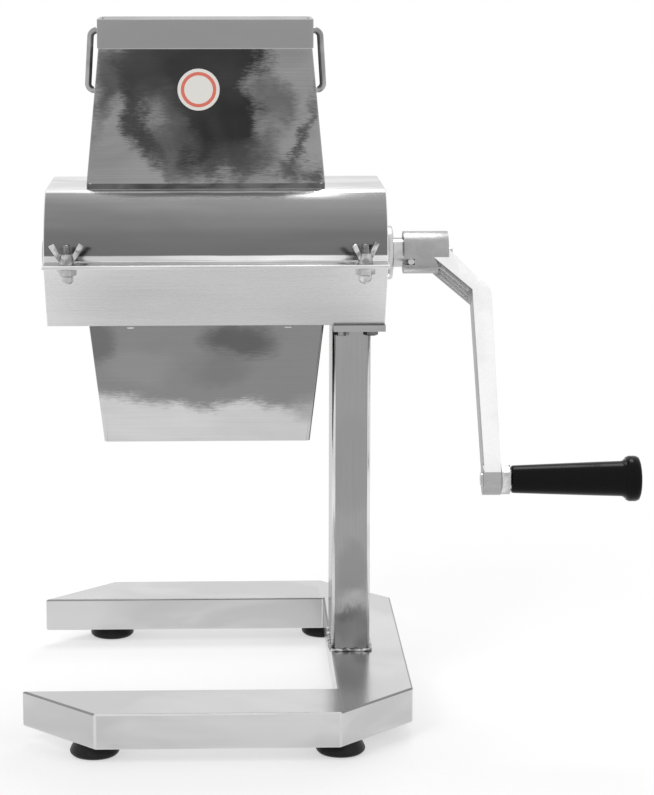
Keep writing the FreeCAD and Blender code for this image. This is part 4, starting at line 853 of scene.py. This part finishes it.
def thread_profile(radius, pitch, bottom, top):
    """Half the outline of a threaded rod with a chamfered tip, as turned grooves."""
    points = [(0, bottom), (radius * 0.85, bottom)]
    height = bottom + pitch / 2
    while height < top - pitch:
        points += [(radius, height), (radius, height + pitch * 0.15),
                   (radius * 0.84, height + pitch * 0.5), (radius * 0.84, height + pitch * 0.65)]
        height += pitch
    return points + [(radius * 0.96, top - pitch * 0.7), (radius * 0.7, top), (0, top)]


def make_studs():
    mesh = bmesh.new()
    for x, y in clamp_spots.values():
        outline = thread_profile(stud_radius, thread_pitch, stud_low.z, stud_high.z)
        turned(outline, 24, (x, y, 0), UPWARDS, mesh)
    thread_gray = metal("stud_thread_steel", 150, 90, grain=(260, 260, 260), depth=0.3,
                        cloud=(120, 120, 120), share=0.6, roughness=0.28)
    show("threaded_studs", mesh, "stand", [thread_gray], ("clamp_studs",))


def make_lock_nuts():
    mesh = bmesh.new()
    low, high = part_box("clamp_lock_nuts")
    for x, y in clamp_spots.values():
        hexagon_bar(mesh, Vector((x, y, low.z)), 13 * MM, high.z - low.z, 0.5 * MM)
    show("fixed_nuts", mesh, "stand", [bright_plate], ("clamp_lock_nuts",))


def make_cap_nut(end):
    low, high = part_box("clamp_cap_nut_" + end)
    radius = (high.x - low.x) / 2
    dome_rise = radius * 0.72
    rim = 0.4 * MM
    outline = []
    for turn in range(9):
        angle = turn * math.pi / 16
        outline.append((radius * math.sin(angle), low.z + dome_rise * (1 - math.cos(angle))))
    outline += [(radius, high.z - rim), (radius - rim, high.z), (0, high.z)]
    mesh = turned(outline, 40, clamp_spots[end] + (0,), UPWARDS)
    show("cap_nut_" + end, mesh, "stand", [bright_plate], ("clamp_cap_nut_" + end,))


make_studs()
make_lock_nuts()
for end in clamp_spots:
    make_cap_nut(end)


wing_cast = metal("wing_nut_plate", 206, 112, grain=(180, 180, 180), depth=0.2, cloud=(110, 110, 110),
                  share=0.8, roughness=0.2)
hub_outline = in_metres([
    (3.1, 0), (5.9, 0), (6, 0.6), (5.2, 5), (4.7, 7.6), (4.3, 8), (3.1, 8), (3.1, 0)])
wing_outline = in_metres([
    (3.4, 1.8), (5.6, 2.4), (7.4, 4.6), (13.2, 13.6), (12.9, 14.3), (9.6, 15.8), (9.0, 15.6), (5.0, 8.2),
    (3.4, 7.2)])
half_wing = Vector((0, 1.1 * MM, 0))


def make_wing_nut(end, turn):
    """A coned hub with two straight wings that lean out to flat tips, stopped at its own angle."""
    mesh = turned(hub_outline, 36, (0, 0, 0), UPWARDS)
    for side in (-1, 1):
        near = [mesh.verts.new((side * across, 0, up)) for across, up in wing_outline]
        blade = mesh.faces.new(near if side > 0 else near[::-1])
        made = bmesh.ops.extrude_face_region(mesh, geom=[blade], use_keep_orig=True)
        far = [item for item in made["geom"] if isinstance(item, bmesh.types.BMVert)]
        bmesh.ops.translate(mesh, vec=half_wing, verts=far)
        bmesh.ops.translate(mesh, vec=-half_wing, verts=near)
        loops = (set(near), set(far))
        rims = [edge for edge in mesh.edges if any(loop.issuperset(edge.verts) for loop in loops)]
        soften(mesh, rims, 0.5 * MM, segments=2)
    shade_round(mesh, 40)
    seat = Vector(clamp_spots[end] + (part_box("wing_nut_" + end)[0].z,))
    place = Matrix.Translation(seat) @ Matrix.Rotation(math.radians(turn), 4, "Z")
    bmesh.ops.transform(mesh, matrix=place, verts=mesh.verts)
    show("wing_nut_part_" + end, mesh, "wing_" + end, [wing_cast], ("wing_nut_" + end,))


for end, turn in zip(CORNER_NAMES, (8, -20, 37, 65)):
    make_wing_nut(end, turn)


# The cassette lies inside the housing: ground steel end plates, combs and two rollers of star blades.
# White nylon spacers and bushes part and carry them, and two cut gears turn the rollers together.
plate_gray = metal("cassette_plate_sheet", 176, 160, grain=ALONG_Z, roughness=0.3)
comb_gray = metal("comb_ground_steel", 182, 150, roughness=0.28)
blade_gray = metal("blade_ground_steel", 196, 150, grain=ALONG_Y, depth=0.3, roughness=0.2)
shaft_gray = metal("shaft_turned_steel", 180, 128, grain=(900, 60, 60), depth=0.25, roughness=0.22)
gear_gray = metal("gear_cut_steel", 140, 96, grain=(300, 300, 300), depth=0.3, roughness=0.36)


def white_nylon():
    """Creamy white bearing plastic with a faint mottle and turning marks."""
    made, tree, shader, places = moulded("white_nylon")
    mottle = node(tree, "TexNoise", places, Scale=70.0, Detail=3.0)
    rings = node(tree, "TexWave", places, wave_type="BANDS", bands_direction="X", Scale=260.0,
                 Distortion=1.0)
    relief = node(tree, "Bump", Strength=0.1, Distance=0.2 * MM, Height=rings.outputs["Fac"])
    tint = two_tones(tree, mottle, ((0.62, 0.6, 0.54, 1), (0.76, 0.75, 0.7, 1)))
    set_up(tree, shader, tint, Roughness=0.42, Normal=relief)
    return made


nylon = white_nylon()
for end in ("left", "right"):
    finish_node("end_plate_" + end, plate_gray)
for roller in ("front", "rear"):
    finish_node(roller + "_comb", comb_gray)
    finish_node(roller + "_blades", blade_gray)
    finish_node(roller + "_spacers", nylon)
    finish_node(roller + "_roller_shaft", shaft_gray)
    finish_node(roller + "_gear", gear_gray)
finish_node("roller_bushes", nylon)
finish_node("comb_screws", zinc_plate)


# The driven shaft leaves the case through a turned, flanged bush and ends on the left in a blind one.
# A bright turned sleeve sits on the shaft under the crank's hub, and a plated pin goes through both.
bush_turned = metal("bush_turned_metal", 204, 178, grain=(900, 40, 40), depth=0.16, roughness=0.26)
bush_barrel = 15 * MM
bush_bore = 11.56 * MM
flange_thickness = 7 * MM
shaft_way = (1, 0, 0)


def make_outer_bush():
    low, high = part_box("outer_bush")
    centre = (0, (low.y + high.y) / 2, (low.z + high.z) / 2)
    flange = (high.z - low.z) / 2
    step = high.x - flange_thickness
    chamfer, mouth, edge = 0.3 * MM, 0.5 * MM, 1.6 * MM
    outline = [(bush_bore, low.x), (bush_barrel, low.x), (bush_barrel, step), (flange - chamfer, step),
               (flange, step + chamfer), (flange, high.x - edge)]
    for turn in range(1, 5):
        angle = turn * math.pi / 8
        outline.append((flange - edge + edge * math.cos(angle), high.x - edge + edge * math.sin(angle)))
    outline += [(bush_bore + mouth, high.x), (bush_bore, high.x - mouth), (bush_bore, low.x)]
    mesh = turned(outline, 72, centre, shaft_way)
    show("flanged_bush", mesh, "stand", [bush_turned], ("outer_bush",))


make_outer_bush()
smooth_copy("left_bush", "blind_bush", "stand", bush_turned, 0.4 * MM)
shaft_bright = metal("sleeve_turned_steel", 196, 110, grain=(900, 30, 30), depth=0.2, cloud=(20, 40, 40),
                     share=0.5, roughness=0.18)
smooth_copy("drive_sleeve", "turned_sleeve", "drive", shaft_bright, 0.25 * MM)
finish_node("drive_pin", zinc_plate)


# The crank is one aluminium casting under silver paint: a hub, a stepped arm with ribs, and an eye.
# The paint keeps the sand's fine pits. The arm's flats are painted brighter as a highlight, and its rib
# pocket is painted light against the shade there.
crank_angle = 40


def pocket_faces(mesh, reach):
    """The faces that look at another wall of the same casting close by, and the floors between them."""
    tree = BVHTree.FromBMesh(mesh)
    walls = set()
    for face in mesh.faces:
        start = face.calc_center_median() + face.normal * 0.05 * MM
        if tree.ray_cast(start, face.normal, reach)[0] is not None:
            walls.add(face)
    floors = set()
    for face in mesh.faces:
        around = [other for edge in face.edges for other in edge.link_faces if other is not face]
        if face not in walls and around and sum(other in walls for other in around) >= len(around) / 2:
            floors.add(face)
    return walls | floors


def make_crank():
    """The arm's broad flat faces are painted brighter than the rest of the casting as a highlight, and so
    is its rib pocket, as painted light.
    """
    flat_face, pocket_face = 1, 2
    least = 32
    mesh = copy_of("crank_arm")
    soften(mesh, sharp_edges(mesh, least), 0.7 * MM)
    flat_way = Matrix.Rotation(math.radians(-crank_angle), 3, "X") @ Vector((0, -1, 0))
    smallest_flat = 200 * MM * MM
    for face in mesh.faces:
        if abs(face.normal.dot(flat_way)) > 0.97 and face.calc_area() > smallest_flat:
            face.material_index = flat_face
    hub_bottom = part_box("crank_arm")[1].z - 25 * MM
    for face in pocket_faces(mesh, 7 * MM):
        if face.calc_center_median().z < hub_bottom:
            face.material_index = pocket_face
    shade_round(mesh, least)
    enamel = metal("silver_enamel_casting", 170, 156, grain=(420, 420, 420), depth=0.3,
                   cloud=(26, 26, 26), share=0.7, roughness=0.36, bump=0.35)
    # The flats' near white is a painted highlight, and the pocket's is painted light against its shade.
    flat_highlight_paint = metal("silver_enamel_painted_highlight", 244, 226, grain=(500, 500, 500), depth=0.12,
                     cloud=(30, 30, 30), share=0.5, roughness=0.34, bump=0.25)
    pocket = metal("silver_enamel_pocket_painted_light", 246, 236, grain=(420, 420, 420), depth=0.2,
                   cloud=(26, 26, 26), share=0.7, roughness=0.5, bump=0.3)
    show("cast_crank", mesh, "drive", [enamel, flat_highlight_paint, pocket], ("crank_arm",))


make_crank()
smooth_copy("end_screw", "crank_end_screw", "drive", zinc_plate)


# The grip is a glossy black phenolic moulding that turns on a headed spindle behind a lock nut.
# The spindle screws into the arm's eye, and its head lies in a recess of the grip's knob.
def black_phenolic():
    """Hard black moulding with a deep shine, faint flow marks and fine scuffs."""
    made, tree, shader, places = moulded("black_phenolic")
    flow = node(tree, "TexNoise", places, Scale=48.0, Detail=3.0, Distortion=1.2)
    scuff = node(tree, "TexNoise", places, Scale=600.0, Detail=4.0)
    gloss = node(tree, "MapRange", scuff, From_Min=0.35, From_Max=0.75, To_Min=0.1, To_Max=0.24)
    tint = two_tones(tree, flow, (grey(5), grey(16)))
    set_up(tree, shader, tint, Roughness=gloss, Specular_IOR_Level=0.1)
    return made


grip_low, grip_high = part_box("grip")
grip_centre = Vector((0, (grip_low.y + grip_high.y) / 2, (grip_low.z + grip_high.z) / 2))
knob_radius = (grip_high.z - grip_low.z) / 2
grip_length = grip_high.x - grip_low.x


def make_grip():
    """The outline widens slowly along the hand, then turns out to a round-edged knob."""
    knob = grip_length - 11 * MM
    edge = 3.2 * MM
    outline = in_metres([
        (5.1, 0), (8.6, 0), (9.8, 0.5), (10.2, 1.6), (10.9, 20), (11.7, 42), (12.5, 64)])
    outline += [(13.0 * MM, knob - 3 * MM), (13.4 * MM, knob - 1.2 * MM), (14.4 * MM, knob - 0.3 * MM)]
    for middle, first in ((knob + edge, -2), (grip_length - edge, 0)):
        for turn in range(first, first + 3):
            angle = turn * math.pi / 4
            outline.append((knob_radius - edge + edge * math.cos(angle), middle + edge * math.sin(angle)))
    bore, recess, floor = 5.1 * MM, 7.5 * MM, grip_length - 6 * MM
    outline += [(8.3 * MM, grip_length - 0.1 * MM), (recess, grip_length - 0.8 * MM),
                (recess, floor), (bore, floor), (bore, 0)]
    placed = [(radius, grip_low.x + along) for radius, along in outline]
    mesh = turned(placed, 72, grip_centre, shaft_way)
    show("black_grip", mesh, "grip", [black_phenolic()], ("grip",))


make_grip()


def make_grip_nut():
    low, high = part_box("grip_lock_nut")
    mesh = bmesh.new()
    start = Vector((low.x, grip_centre.y, grip_centre.z))
    hexagon_bar(mesh, start, 19 * MM, high.x - low.x, 0.9 * MM, axis="X", turn=-crank_angle)
    show("grip_nut", mesh, "drive", [bright_plate], ("grip_lock_nut",))


make_grip_nut()
smooth_copy("grip_spindle", "grip_axle", "drive", bright_plate, 0.3 * MM)
